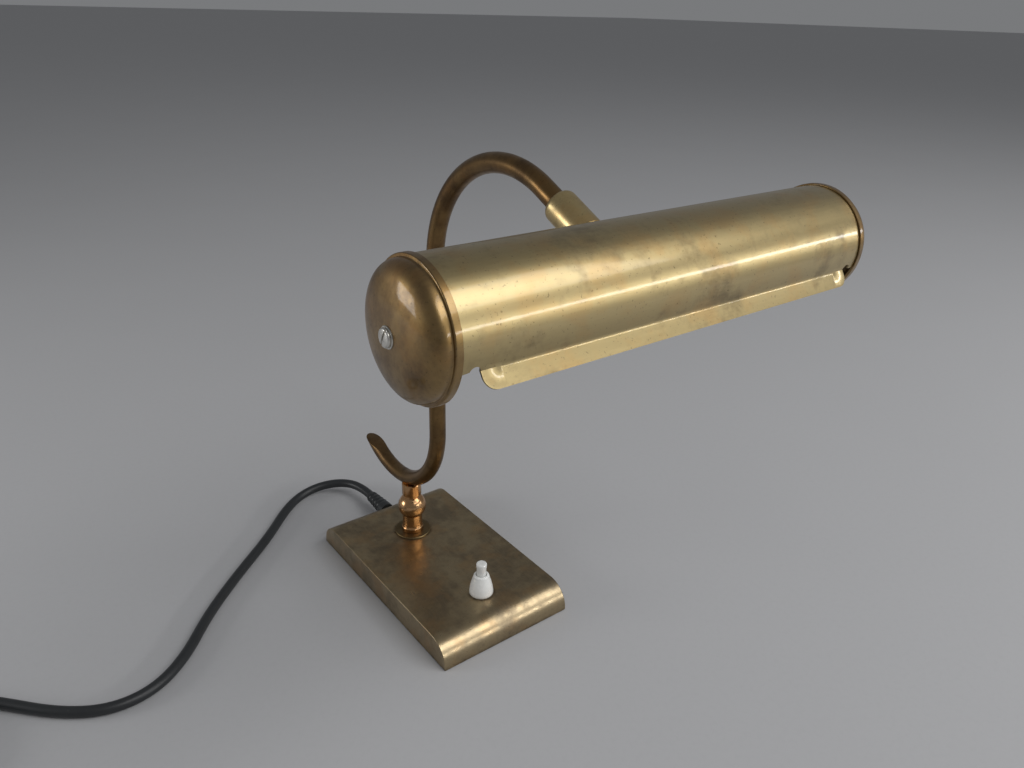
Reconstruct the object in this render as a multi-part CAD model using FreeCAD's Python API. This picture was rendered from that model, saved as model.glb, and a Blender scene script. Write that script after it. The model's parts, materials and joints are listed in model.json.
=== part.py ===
import FreeCAD, Part
import math
import os
os.makedirs("parts", exist_ok=True)

# Brass desk lamp: a weighted sheet-brass base with a push switch, a turned stem, a bent arm with a
# decorative hook, a swivelling knuckle, and a long tubular shade with two domed end caps.
# Millimetres. +Z is up and Z = 0 is the underside of the felt. The base is centred on X = Y = 0.
# The switch and the shade are towards -Y, and the mains lead leaves the back of the base, +Y.

V = FreeCAD.Vector
AXIS_X = V(1, 0, 0)
AXIS_Y = V(0, 1, 0)
AXIS_Z = V(0, 0, 1)
ORIGIN = V(0, 0, 0)

# ---- base -------------------------------------------------------------------------------------
BASE_WIDTH = 90.0
BASE_LENGTH = 152.6
FELT_THICK = 1.0
COVER_FOOT = 0.6            # bottom edge of the cover above the table
COVER_TOP = 16.6            # top face above the table
COVER_SHEET = 1.0
ROLL_RADIUS = 15.0          # outside radius of the rolled front and back edges
PLATE_THICK = 1.0
PLATE_GAP = 0.3             # plate and felt inside the cover's walls
WEIGHT_SIDE_GAP = 3.0       # weight inside the cover's side walls
WEIGHT_END_GAP = 1.3        # weight short of the rolled edges
WEIGHT_CORNER_R = 4.0
HOLE_CLEARANCE = 0.1        # holes over the threads and studs that pass through them
CHANNEL_WIDTH = 12.0        # cable channel in the underside of the weight
CHANNEL_OVER_CORD = 0.5
PLATE_SCREW_SIDE = 11.0     # screws in from the sides of the base
PLATE_SCREW_INSET = 8.0     # screws in from the ends of the weight
PLATE_SLOT_DEPTH = 0.5
PLATE_SLOT_HALF = 0.4
PLATE_SCREW_R = 2.0
PLATE_SCREW_END = 10.0

# ---- push switch ------------------------------------------------------------------------------
SWITCH_FROM_FRONT = 28.3    # switch behind the front edge of the base
SWITCH_BODY_R = 9.5
SWITCH_BODY_FOOT = 3.2
SWITCH_CAVITY_R = 5.2
SWITCH_ROOF = 2.4           # body above its cavity
SWITCH_FLOOR = 1.2
TERMINAL_LENGTH = 3.2
TERMINAL_SPREAD = 4.2
TERMINAL_HALF = 1.3
TERMINAL_RISE = 1.0
TERMINAL_THICK = 0.8
SWITCH_THREAD_R = 5.0
SWITCH_THREAD_RISE = 3.0    # thread standing above the cover
COLLAR_FOOT_R = 7.4
COLLAR_GAP = 0.35           # collar round the button
COLLAR_LIP = 1.55           # wall of the collar at its top
COLLAR_HEIGHT = 13.8
COLLAR_FOOT_ROUND = 1.6
COLLAR_TOP_ROUND = 1.4
COLLAR_WAIST_IN = 0.55      # bulge of the cone, inside its foot
COLLAR_WAIST_AT = 7.18      # height of that bulge
COLLAR_SHOULDER_OUT = 0.49
COLLAR_CROWN_IN = 1.12
COLLAR_ROUND_IN = 0.05
COLLAR_ROUND_DOWN = 0.4
BUTTON_R = 3.0
BUTTON_HEAD_OVER = 0.25     # head wider than the button
BUTTON_HEAD = 2.4
BUTTON_TAPER = 0.6
BUTTON_BEVEL = 0.9
BUTTON_SEAT_GAP = 0.02
BUTTON_RISE = 8.1           # button above its collar
BUTTON_TRAVEL = 3.0
BUTTON_CLEARANCE = 0.06
BUTTON_FLANGE_R = 4.6
BUTTON_FLANGE_THICK = 1.5
SPRING_R = 3.4
SPRING_WIRE_R = 0.35
SPRING_TURNS = 3.0
SPRING_END_GAP = 0.05
POCKET_GAP = 1.5            # weight pocket round the switch and the stem nut

# ---- stem -------------------------------------------------------------------------------------
STEM_FROM_BACK = 43.3       # stem in front of the back edge of the base
FLANGE_R = 12.0
FLANGE_THICK = 1.0
STEM_FOOT_R = 7.2
STEM_NECK_R = 6.6
STEM_FOOT_HEIGHT = 3.2      # straight foot above the flange
STEM_NECK_START = 6.0       # neck above the flange
STEM_COLLAR_BEVEL = 0.5
STEM_BALL_R = 9.3
STEM_BALL_RISE = 20.0       # ball centre above the cover
STEM_GROOVE_R = 5.5
STEM_COLLAR_R = 6.4
STEM_COLLAR_FOOT = 29.0     # collar foot above the cover
NIPPLE_R = 5.0
NIPPLE_BORE_R = 3.4
NIPPLE_IN_STEM = 10.0
NUT_THICK = 3.0
NUT_ACROSS = 14.0
STEM_WASHER_THICK = 1.0
STEM_WASHER_OVER = 0.4      # washer wider than the nut
NIPPLE_TAIL = 1.5           # thread below the nut
STEM_HEIGHT = 37.6          # top of the stem above the cover
STEM_BORE_R = 2.6

# ---- arm --------------------------------------------------------------------------------------
ARM_R = 5.0
ARM_WALL = 1.0
ARM_HOLE_UNDER = 0.4        # wire hole smaller than the bore of the stem
ARM_HOLE_REACH = 6.0
ARM_FORWARD = 33.6          # vertical run in front of the stem
ARCH_RADIUS = 63.6
ARCH_FOOT = 213.5           # height where the arch begins
ARCH_SWEEP = 115.7          # degrees
ARM_END_RUN = 18.6          # straight end beyond the arch
HOOK_RADIUS = 51.75
HOOK_SINK = 1.2             # how far the hook is let into the top of the stem
HOOK_START_CUT = -88.0      # degrees round the hook, where the slanting cut meets the inner side
HOOK_TIP = -46.0            # degrees round the hook, where it meets the outer side
HOOK_PLUG_START = -84.0
HOOK_OVERRUN = 4.0          # degrees of tube that the slanting cut takes off
CUT_START = 2.0
CUT_RUN = 60.0
CUT_DEPTH = 30.0

# ---- swivel and knuckle, measured along the arm's straight end ---------------------------------
FERRULE_START = 10.6
FERRULE_END = 34.0
FERRULE_WALL = 1.2
FERRULE_ROUND = 3.2
FERRULE_NOSE = 0.35
FERRULE_BULGE = 0.05
FERRULE_FACE = 3.0          # thickness of the end that turns on the arm
SWIVEL_CLEARANCE = 0.06
SWIVEL_WASHER_THICK = 0.45
SWIVEL_WASHER_GAP = 0.05
SWIVEL_WASHER_BORE = 0.2    # washer round the arm
SWIVEL_COLLAR_WALL = 1.4
SWIVEL_COLLAR_LENGTH = 3.5
FERRULE_BORE_GAP = 0.4      # ferrule round the collar and over the fork's neck
FORK_START = 24.0
PIVOT_AT = 38.5
FORK_FLAT_DEPTH = 0.8       # flats filed on the sides of the fork
FORK_BORE_UNDER = 0.5       # bore of the fork inside the bore of the arm
TONGUE_THICK = 4.4
FRICTION_WASHER = 0.35
WASHER_GAP = 0.05
SLOT_CLEARANCE = 1.0        # slot floor behind the tongue's eye
PIVOT_R = 2.0
PIVOT_CLEARANCE = 0.03
PIVOT_HEAD_R = 3.3
PIVOT_HEAD_THICK = 1.8
PIVOT_HEAD_ROUND = 0.6
PIVOT_NUT_THICK = 2.2
PIVOT_NUT_ACROSS = 7.0
PIVOT_TAIL = 0.6            # screw standing out of its nut
PIVOT_SLOT_DEPTH = 0.9
PIVOT_SLOT_HALF = 0.4
TONGUE_EYE_R = 5.6
TONGUE_NECK = 8.0
STUD_RISE = 9.5             # degrees that the shade's stud rises towards the pivot
SHOULDER_GAP = 0.6          # shoulder of the stud beyond the fork's tip
SHOULDER_THICK = 2.55
BLEND = 1.0                 # how far one part of a solid runs into the next
STUD_SHOULDER_R = 6.5
STUD_R = 4.9
STUD_BORE_R = 3.0
STUD_BEYOND_NUT = 1.2
STUD_NUT_WALL = 1.6         # from the stud to the flats of its nut
SADDLE_WALL = 2.1
DRUM_HALF = 20.0

# ---- shade, about its long axis ----------------------------------------------------------------
SHADE_SPAN = 213.2          # between the rims of the two caps
SHADE_R = 24.55
SHADE_SHEET = 0.7
OPEN_HALF_ANGLE = 71.35     # of the downward opening, each side of straight down
LIP_WIDTH = 7.0
LIP_DROP_ANGLE = 58.0       # of the lips below the horizontal
LIP_END_GAP = 7.5           # lip end to the rim of the cap
LIP_CORNER_R = 5.0
NOTCH_DEPTH = 2.2           # relief beside each lip end, up the side of the tube
CAP_SHEET = 0.75
CAP_CLEARANCE = 0.03
CAP_SKIRT = 2.9
CAP_STEP = 0.7
CAP_DOME_INSET = 0.55       # foot of the dome inside the outside of the tube
CAP_BEAD_DROP = 0.7
CAP_BEAD_IN = 0.35
CAP_BEAD_STEP = 0.25
TUBE_END_GAP = 0.1          # tube short of the shoulder of each cap
CAP_DOME_RISE = 8.5
DOME_FULLNESS = 2.4         # 2 would be an ellipse; more gives a flatter crown
DOME_POINTS = 16
CAP_HOLE_R = 2.2
CAP_SCREW_R = 2.0
CAP_SCREW_HEAD_R = 3.4
CAP_SCREW_HEAD = 1.3
CAP_SCREW_ROUND = 0.5
CAP_SCREW_TAIL = 0.8
CAP_SLOT_DEPTH = 0.7
CAP_SLOT_HALF = 0.5
CAP_WASHER_R = 3.9
CAP_WASHER_THICK = 0.4
CAP_WASHER_SEAT = 0.04      # over the dome, at the washer's hole and rim

# ---- inside the shade --------------------------------------------------------------------------
RAIL_WIDTH = 14.0
RAIL_THICK = 1.4
RAIL_GAP = 1.35             # rail inside the wall of the shade
RAIL_TAB_INSET = 4.6        # end tabs inside the rims of the caps
RAIL_TAB_BELOW = 7.0
CAP_NUT_THICK = 2.4
CAP_NUT_ACROSS = 7.0
BRACKET_INSET = 13.2        # lampholder brackets inside the rims of the caps
BRACKET_WIDTH = 12.0
BRACKET_FOOT = 16.0
HOLDER_R = 13.0
HOLDER_LENGTH = 28.0
HOLDER_WALL = 2.2
HOLDER_ROUND = 1.5
HOLDER_BOSS_R = 4.0
HOLDER_NUT_ACROSS = 11.0
HOLDER_NUT_THICK = 2.0
BRACKET_SCREW_R = 1.5
BRACKET_SCREW_HEAD_R = 2.6
BRACKET_SCREW_HEAD = 1.4
BRACKET_SCREW_INSET = 9.0   # from the bracket's leg
LAMP_CAP_R = 6.9
LAMP_CAP_LENGTH = 19.0
LAMP_R = 11.0
LAMP_GLASS = 43.0
LAMP_SHELL = 0.8
LAMP_NECK_R = 6.4
LAMP_NECK_IN_CAP = 4.0
LAMP_NECK_TOP = 1.5
LAMP_NECK_CLEARANCE = 2.0
LAMP_SHOULDER = 7.0         # full width of the bulb above its cap
LAMP_CAP_PROUD = 2.0        # cap showing out of the lampholder
LAMP_CAP_CLEARANCE = 0.25
LAMP_CONTACT_R = 3.0
LAMP_CONTACT = 1.6          # thickness of the bulb's end contact
HOLDER_RECESS = 3.0
HOLDER_BOSS_PROUD = 0.2
BLOCK_START = 11.0          # connector from the stud's axis
BLOCK_LENGTH = 16.0
BLOCK_WIDTH = 16.0
BLOCK_DEPTH = 9.0
BLOCK_BORE_R = 1.6
BLOCK_BORE_Y = 4.0
BLOCK_BORE_DROP = 5.0       # bores below the rail
SHADE_WIRE_ON_HOLDER = 8.6  # ends of the leads beyond the mouths of the lampholders
SHADE_WIRE_CROSSING = 8.0   # where the left pair passes the stud

# ---- mains lead --------------------------------------------------------------------------------
CORD_R = 3.1
CORD_X = 2.0
CORD_Z = 9.0
CORD_END_BEHIND_STEM = 10.0  # where the sheath is stripped, inside the base
CLAMP_HALF = 13.0
CLAMP_DEPTH = 8.0
CLAMP_BEHIND_STEM = 14.0
CLAMP_POCKET_GAP = 1.0
CLAMP_THICK = 2.2
CLAMP_SCREW_X = 10.0
CLAMP_SCREW_R = 1.5
CLAMP_SCREW_BITE = 5.0
CLAMP_SCREW_HEAD_R = 2.8
CLAMP_SCREW_HEAD = 1.2
WIRE_R = 0.9
ARM_LEAD_R = 1.8
ARM_LEAD_BEYOND = 3.0
BOOT_OUTSIDE = 20.4
BOOT_ROOT_WALL = 2.3
BOOT_TIP_WALL = 0.8
BOOT_NECK_WALL = 1.3
BOOT_FLANGE_WALL = 2.5
BOOT_FLANGE_THICK = 2.5
BOOT_FLANGE_INSET = 1.7     # flange behind the start of the rolled edge
# Route of the free lead along the table, from the boot to the coil.
CORD_ROUTE = [
    (2.0, 96.7, 9.0), (2.0, 114.6, 9.0), (-8.6, 130.8, 7.4), (-27.4, 137.2, 5.0),
    (-48.9, 129.4, 3.4), (-78.0, 98.5, 3.2), (-109.0, 72.0, 3.2), (-138.0, 44.4, 3.2),
    (-160.0, 17.0, 3.2), (-181.0, 2.0, 3.2), (-204.0, 1.2, 3.2), (-226.5, 15.2, 3.2),
    (-250.5, 41.5, 3.4), (-277.0, 66.0, 3.8),
]
COIL_CENTRE = (-306.4, 34.2)
COIL_MID_R = 34.0           # mean radius of the turns
COIL_FOOT = 0.7
COIL_COLUMNS = 4
COIL_LAYERS = 2
TAIL_ROUTE = [(-346.6, 34.2, 9.2), (-347.2, 16.0, 11.2), (-346.4, -1.5, 13.2), (-346.4, -16.0, 13.2)]
PLUG_LENGTH = 38.0
PLUG_WIDTH = 35.0
PLUG_HEIGHT = 26.0
PLUG_BOOT = 24.0
PLUG_BOOT_ROOT_R = 7.5
PLUG_BOOT_WALL = 1.0
PLUG_BOOT_SINK = 3.0        # boot carried into the body
PLUG_PIN_R = 2.4
PLUG_PIN_LENGTH = 19.0
PLUG_PIN_PITCH = 19.0
PLUG_PIN_ROUND = 1.2
PLUG_SIDE_R = 9.88
PLUG_BACK_R = 4.0
TIE_WIDTH = 8.0
TIE_ANGLE = 245.0
TIE_THICK = 0.6


# ---- helpers -----------------------------------------------------------------------------------
def block(x0, x1, y0, y1, z0, z1):
    """Box between two corners."""
    return Part.makeBox(x1 - x0, y1 - y0, z1 - z0, V(x0, y0, z0))


def rod(radius, start, length, axis):
    """Cylinder from a start point along an axis."""
    return Part.makeCylinder(radius, length, start, axis)


def ring(outer, inner, start, length, axis):
    """Tube or washer: a rod with a bore right through."""
    return rod(outer, start, length, axis).cut(rod(inner, start, length, axis))


def turned(profile):
    """Closed profile of edges in the XZ plane, turned about Z."""
    face = Part.Face(Part.Wire(Part.__sortEdges__(profile)))
    return face.revolve(ORIGIN, AXIS_Z, 360)


def polyline(points):
    """Straight edges through (radius, height) points in the XZ plane."""
    corners = [V(r, 0, z) for r, z in points]
    return [Part.LineSegment(a, b).toShape() for a, b in zip(corners[:-1], corners[1:])]


def lathe(points):
    """Turned solid from a closed loop of (radius, height) points."""
    return turned(polyline(points + points[:1]))


def hex_nut(across, hole, start, thick, axis):
    """Hexagonal nut with a plain bore, as one solid."""
    radius = across / math.sqrt(3)
    corners = [V(radius * math.cos(math.radians(60 * i)), radius * math.sin(math.radians(60 * i)), 0)
               for i in range(7)]
    nut = Part.Face(Part.makePolygon(corners)).extrude(V(0, 0, thick))
    nut = nut.cut(rod(hole, ORIGIN, thick, AXIS_Z))
    nut.Placement = FreeCAD.Placement(start, FreeCAD.Rotation(AXIS_Z, axis))
    return nut


def along(shape, placement):
    """Copy of a shape at a placement."""
    moved = shape.copy()
    moved.Placement = placement.multiply(moved.Placement)
    return moved


def mirrored(shape):
    """Copy reflected from the +X side to the -X side."""
    return shape.mirror(ORIGIN, AXIS_X)


def rounded_route(route, name=None):
    """Wire of straight runs joined by tangent arcs, each as large as its two runs allow."""
    points = [V(*p) for p in route]
    edges = []
    radii = []
    last = points[0]
    for before, corner, after in zip(points[:-2], points[1:-1], points[2:]):
        back = before.sub(corner)
        ahead = after.sub(corner)
        reach = 0.45 * min(back.Length, ahead.Length)
        back.normalize()
        ahead.normalize()
        half_turn = (math.pi - back.getAngle(ahead)) / 2
        radii.append(reach / math.tan(half_turn))
        start = corner + back * reach
        end = corner + ahead * reach
        inward = back + ahead
        inward.normalize()
        middle = corner + inward * (radii[-1] / math.cos(half_turn) - radii[-1])
        edges.append(Part.LineSegment(last, start).toShape())
        edges.append(Part.Arc(start, middle, end).toShape())
        last = end
    edges.append(Part.LineSegment(last, points[-1]).toShape())
    wire = Part.Wire(edges)
    if name:
        print(name, "length", round(wire.Length, 1), "radii", [round(r, 1) for r in radii])
    return wire


def tube_on(wire, radius):
    """Solid round bar along a wire."""
    start = wire.Edges[0].valueAt(wire.Edges[0].FirstParameter)
    heading = wire.Edges[0].tangentAt(wire.Edges[0].FirstParameter)
    circle = Part.Wire(Part.makeCircle(radius, start, heading))
    return wire.makePipeShell([circle], True, False)


def save(node, *solids):
    """Write one named piece, or one group of like pieces, to its file."""
    shape = solids[0] if len(solids) == 1 else Part.makeCompound(list(solids))
    if len(shape.Solids) == 1:
        shape = shape.Solids[0]
    if not shape.isValid() or not shape.Solids:
        raise ValueError(node + " is not a valid solid")
    shape.exportStep("parts/" + node + ".step")


# ---- derived sizes -----------------------------------------------------------------------------
HALF_WIDTH = BASE_WIDTH / 2
HALF_LENGTH = BASE_LENGTH / 2
SWITCH_Y = SWITCH_FROM_FRONT - HALF_LENGTH
STEM_Y = HALF_LENGTH - STEM_FROM_BACK
WEIGHT_WIDTH = BASE_WIDTH - 2 * (COVER_SHEET + WEIGHT_SIDE_GAP)
WEIGHT_LENGTH = BASE_LENGTH - 2 * (ROLL_RADIUS + WEIGHT_END_GAP)
PLATE_SCREW_X = HALF_WIDTH - PLATE_SCREW_SIDE
PLATE_SCREW_Y = WEIGHT_LENGTH / 2 - PLATE_SCREW_INSET
CHANNEL_TOP = CORD_Z + CORD_R + CHANNEL_OVER_CORD
CLAMP_Y = STEM_Y + CLAMP_BEHIND_STEM
CORD_INNER_END = STEM_Y + CORD_END_BEHIND_STEM
COLLAR_BORE_R = BUTTON_R + COLLAR_GAP
COLLAR_TOP_R = COLLAR_BORE_R + COLLAR_LIP
BUTTON_HEAD_R = BUTTON_R + BUTTON_HEAD_OVER
ARM_BORE_R = ARM_R - ARM_WALL
SWIVEL_COLLAR_R = ARM_R + SWIVEL_COLLAR_WALL
FERRULE_BORE_R = SWIVEL_COLLAR_R + FERRULE_BORE_GAP
FERRULE_R = FERRULE_BORE_R + FERRULE_WALL
FORK_R = FERRULE_BORE_R - FERRULE_BORE_GAP
FORK_FLAT = FORK_R - FORK_FLAT_DEPTH
SLOT_DEPTH = TONGUE_EYE_R + SLOT_CLEARANCE
STUD_SHOULDER_AT = FORK_R + SHOULDER_GAP
PIVOT_TO_SHADE = STUD_SHOULDER_AT + SHOULDER_THICK + SHADE_R
STUD_NUT_ACROSS = 2 * (STUD_R + STUD_NUT_WALL)
SADDLE_R = STUD_R + SADDLE_WALL
BOOT_ROOT_R = CORD_R + BOOT_ROOT_WALL
BOOT_TIP_R = CORD_R + BOOT_TIP_WALL
BOOT_NECK_R = CORD_R + BOOT_NECK_WALL
BOOT_FLANGE_R = CORD_R + BOOT_FLANGE_WALL
PLUG_BOOT_TIP_R = CORD_R + PLUG_BOOT_WALL
PLATE_FOOT = FELT_THICK
WEIGHT_FOOT = FELT_THICK + PLATE_THICK
WEIGHT_TOP = COVER_TOP - COVER_SHEET
ARM_Y = STEM_Y - ARM_FORWARD
ARCH_CENTRE = V(0, ARM_Y - ARCH_RADIUS, ARCH_FOOT)
ARCH_ANGLE = math.radians(ARCH_SWEEP)
ARCH_END = ARCH_CENTRE + V(0, ARCH_RADIUS * math.cos(ARCH_ANGLE), ARCH_RADIUS * math.sin(ARCH_ANGLE))
STEM_TOP = COVER_TOP + STEM_HEIGHT
HOOK_STEM_DROP = math.sqrt(HOOK_RADIUS ** 2 - (ARM_Y + HOOK_RADIUS - STEM_Y) ** 2)
HOOK_CENTRE = V(0, ARM_Y + HOOK_RADIUS, STEM_TOP - HOOK_SINK + ARM_R + HOOK_STEM_DROP)

ARM_FRAME = FreeCAD.Placement(ARCH_END, FreeCAD.Rotation(AXIS_X, ARCH_SWEEP))
PIVOT = ARM_FRAME.multVec(V(0, 0, PIVOT_AT))
STUD_FRAME = FreeCAD.Placement(PIVOT, FreeCAD.Rotation(AXIS_X, 90 + STUD_RISE))
SHADE_CENTRE = STUD_FRAME.multVec(V(0, 0, PIVOT_TO_SHADE))
SHADE_FRAME = FreeCAD.Placement(SHADE_CENTRE, FreeCAD.Rotation())
RAIL_FRAME = FreeCAD.Placement(SHADE_CENTRE, FreeCAD.Rotation(AXIS_X, STUD_RISE - 90))
CAP_RIM = SHADE_SPAN / 2
SHADE_BORE_R = SHADE_R - SHADE_SHEET
RAIL_OUTER = SHADE_BORE_R - RAIL_GAP
CAP_DOME_R = SHADE_R - CAP_DOME_INSET
LIP_RUN = SHADE_SPAN / 2 - LIP_END_GAP
CAP_CREST = CAP_RIM + CAP_SKIRT + CAP_STEP + CAP_DOME_RISE

BUTTON_TOP = COVER_TOP + COLLAR_HEIGHT + BUTTON_RISE
CAVITY_TOP = WEIGHT_TOP - SWITCH_ROOF
FLANGE_FOOT = CAVITY_TOP - BUTTON_FLANGE_THICK
SPRING_FOOT = SWITCH_BODY_FOOT + SWITCH_FLOOR

WALL_AT = PIVOT_TO_SHADE - SHADE_R
RAIL_AT = PIVOT_TO_SHADE - RAIL_OUTER
STUD_NUT_AT = RAIL_AT + RAIL_THICK
TAB_OUTER = CAP_RIM - RAIL_TAB_INSET
HOLDER_BACK = CAP_RIM - BRACKET_INSET
BRACKET_TOP = RAIL_OUTER - RAIL_THICK
BRACKET_SCREW_X = HOLDER_BACK - BRACKET_SCREW_INSET
HOLDER_MOUTH = HOLDER_BACK - HOLDER_LENGTH
LAMP_FOOT = HOLDER_MOUTH - LAMP_CAP_PROUD

BOOT_END = HALF_LENGTH + BOOT_OUTSIDE
FLANGE_AT = HALF_LENGTH - ROLL_RADIUS + BOOT_FLANGE_INSET
TAIL_END = V(*TAIL_ROUTE[-1])
PLUG_FACE_Y = TAIL_END.y - PLUG_BOOT - PLUG_LENGTH


# ---- base --------------------------------------------------------------------------------------
def rolled_outline(inset):
    """End view of the cover: flat top with a quarter round at the front and the back."""
    half = HALF_LENGTH - inset
    top = COVER_TOP - inset
    radius = ROLL_RADIUS - inset
    turn = radius * (1 - math.sqrt(0.5))
    foot = COVER_FOOT
    points = [V(0, -half, foot), V(0, -half, top - radius), V(0, -half + radius, top),
              V(0, half - radius, top), V(0, half, top - radius), V(0, half, foot)]
    edges = [
        Part.LineSegment(points[0], points[1]).toShape(),
        Part.Arc(points[1], V(0, -half + turn, top - turn), points[2]).toShape(),
        Part.LineSegment(points[2], points[3]).toShape(),
        Part.Arc(points[3], V(0, half - turn, top - turn), points[4]).toShape(),
        Part.LineSegment(points[4], points[5]).toShape(),
        Part.LineSegment(points[5], points[0]).toShape(),
    ]
    return Part.Face(Part.Wire(edges))


def cover_block(inset):
    """Solid under the cover's outside, or under its inside when inset by the sheet."""
    half = HALF_WIDTH - inset
    face = rolled_outline(inset)
    face.translate(V(-half, 0, 0))
    return face.extrude(V(2 * half, 0, 0))


def base_cover():
    cover = cover_block(0).cut(cover_block(COVER_SHEET))
    for radius, y in ((NIPPLE_R + HOLE_CLEARANCE, STEM_Y), (SWITCH_THREAD_R + HOLE_CLEARANCE, SWITCH_Y)):
        cover = cover.cut(rod(radius, V(0, y, WEIGHT_TOP), COVER_SHEET, AXIS_Z))
    boot_hole = rod(BOOT_NECK_R, V(CORD_X, HALF_LENGTH - ROLL_RADIUS, CORD_Z), 2 * ROLL_RADIUS, AXIS_Y)
    return cover.cut(boot_hole)


def plate_screw_places():
    return [(sx * PLATE_SCREW_X, sy * PLATE_SCREW_Y) for sx in (-1, 1) for sy in (-1, 1)]


def base_weight():
    half_w = WEIGHT_WIDTH / 2
    half_l = WEIGHT_LENGTH / 2
    weight = block(-half_w, half_w, -half_l, half_l, WEIGHT_FOOT, WEIGHT_TOP)
    uprights = [e for e in weight.Edges if abs(e.tangentAt(e.FirstParameter).z) > 0.9]
    weight = weight.makeFillet(WEIGHT_CORNER_R, uprights)
    height = WEIGHT_TOP - WEIGHT_FOOT
    pocket_r = SWITCH_BODY_R + POCKET_GAP
    weight = weight.cut(rod(pocket_r, V(0, SWITCH_Y, WEIGHT_FOOT), height, AXIS_Z))
    channel = CHANNEL_WIDTH / 2
    weight = weight.cut(block(-channel, channel, SWITCH_Y, half_l, WEIGHT_FOOT, CHANNEL_TOP))
    weight = weight.cut(rod(NUT_ACROSS / 2 + 2 * POCKET_GAP, V(0, STEM_Y, WEIGHT_FOOT),
                            CHANNEL_TOP - WEIGHT_FOOT, AXIS_Z))
    weight = weight.cut(rod(NIPPLE_R + HOLE_CLEARANCE, V(0, STEM_Y, WEIGHT_FOOT), height, AXIS_Z))
    pocket = CLAMP_HALF + CLAMP_POCKET_GAP
    weight = weight.cut(block(CORD_X - pocket, CORD_X + pocket, CLAMP_Y - CLAMP_POCKET_GAP, half_l,
                              WEIGHT_FOOT, CORD_Z - CORD_R))
    for x, y in plate_screw_places():
        weight = weight.cut(rod(PLATE_SCREW_R, V(x, y, WEIGHT_FOOT), PLATE_SCREW_END - WEIGHT_FOOT, AXIS_Z))
    for x in (-CLAMP_SCREW_X, CLAMP_SCREW_X):
        weight = weight.cut(rod(CLAMP_SCREW_R, V(CORD_X + x, CLAMP_Y + CLAMP_DEPTH / 2, CORD_Z - CORD_R),
                                CLAMP_SCREW_BITE, AXIS_Z))
    return weight


def sheet_under(thick, foot):
    inset = COVER_SHEET + PLATE_GAP
    return block(-HALF_WIDTH + inset, HALF_WIDTH - inset, -HALF_LENGTH + inset, HALF_LENGTH - inset,
                 foot, foot + thick)


def plate_screw(x, y):
    head_r = 2 * PLATE_SCREW_R
    length = PLATE_SCREW_END - PLATE_FOOT
    screw = lathe([(0, 0), (head_r, 0), (PLATE_SCREW_R, PLATE_THICK), (PLATE_SCREW_R, length), (0, length)])
    screw = screw.cut(block(-PLATE_SLOT_HALF, PLATE_SLOT_HALF, -head_r, head_r, 0, PLATE_SLOT_DEPTH))
    screw.translate(V(x, y, PLATE_FOOT))
    return screw


def base_plate():
    plate = sheet_under(PLATE_THICK, PLATE_FOOT)
    for x, y in plate_screw_places():
        cone = lathe([(0, 0), (2 * PLATE_SCREW_R, 0), (PLATE_SCREW_R, PLATE_THICK), (0, PLATE_THICK)])
        cone.translate(V(x, y, PLATE_FOOT))
        plate = plate.cut(cone)
    return plate


# ---- cord clamp and wires inside the base -------------------------------------------------------
def cord_clamp():
    top = CORD_Z - CORD_R
    clamp = block(CORD_X - CLAMP_HALF, CORD_X + CLAMP_HALF, CLAMP_Y, CLAMP_Y + CLAMP_DEPTH,
                  top - CLAMP_THICK, top)
    for x in (-CLAMP_SCREW_X, CLAMP_SCREW_X):
        clamp = clamp.cut(rod(CLAMP_SCREW_R, V(CORD_X + x, CLAMP_Y + CLAMP_DEPTH / 2, top - CLAMP_THICK),
                              CLAMP_THICK, AXIS_Z))
    return clamp


def clamp_screw(x):
    top = CORD_Z - CORD_R
    centre_y = CLAMP_Y + CLAMP_DEPTH / 2
    foot = top - CLAMP_THICK - CLAMP_SCREW_HEAD
    head = rod(CLAMP_SCREW_HEAD_R, V(x, centre_y, foot), CLAMP_SCREW_HEAD, AXIS_Z)
    shank = rod(CLAMP_SCREW_R, V(x, centre_y, foot), top + CLAMP_SCREW_BITE - foot, AXIS_Z)
    return head.fuse(shank).removeSplitter()


# ---- switch ------------------------------------------------------------------------------------
def switch_body():
    outline = [(0, SWITCH_BODY_FOOT), (SWITCH_BODY_R, SWITCH_BODY_FOOT), (SWITCH_BODY_R, WEIGHT_TOP),
               (SWITCH_THREAD_R, WEIGHT_TOP), (SWITCH_THREAD_R, COVER_TOP + SWITCH_THREAD_RISE),
               (0, COVER_TOP + SWITCH_THREAD_RISE)]
    body = lathe(outline)
    body = body.cut(rod(SWITCH_CAVITY_R, V(0, 0, SPRING_FOOT), CAVITY_TOP - SPRING_FOOT, AXIS_Z))
    body = body.cut(rod(BUTTON_R + BUTTON_CLEARANCE, V(0, 0, CAVITY_TOP), COVER_TOP, AXIS_Z))
    body.translate(V(0, SWITCH_Y, 0))
    return body


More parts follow.
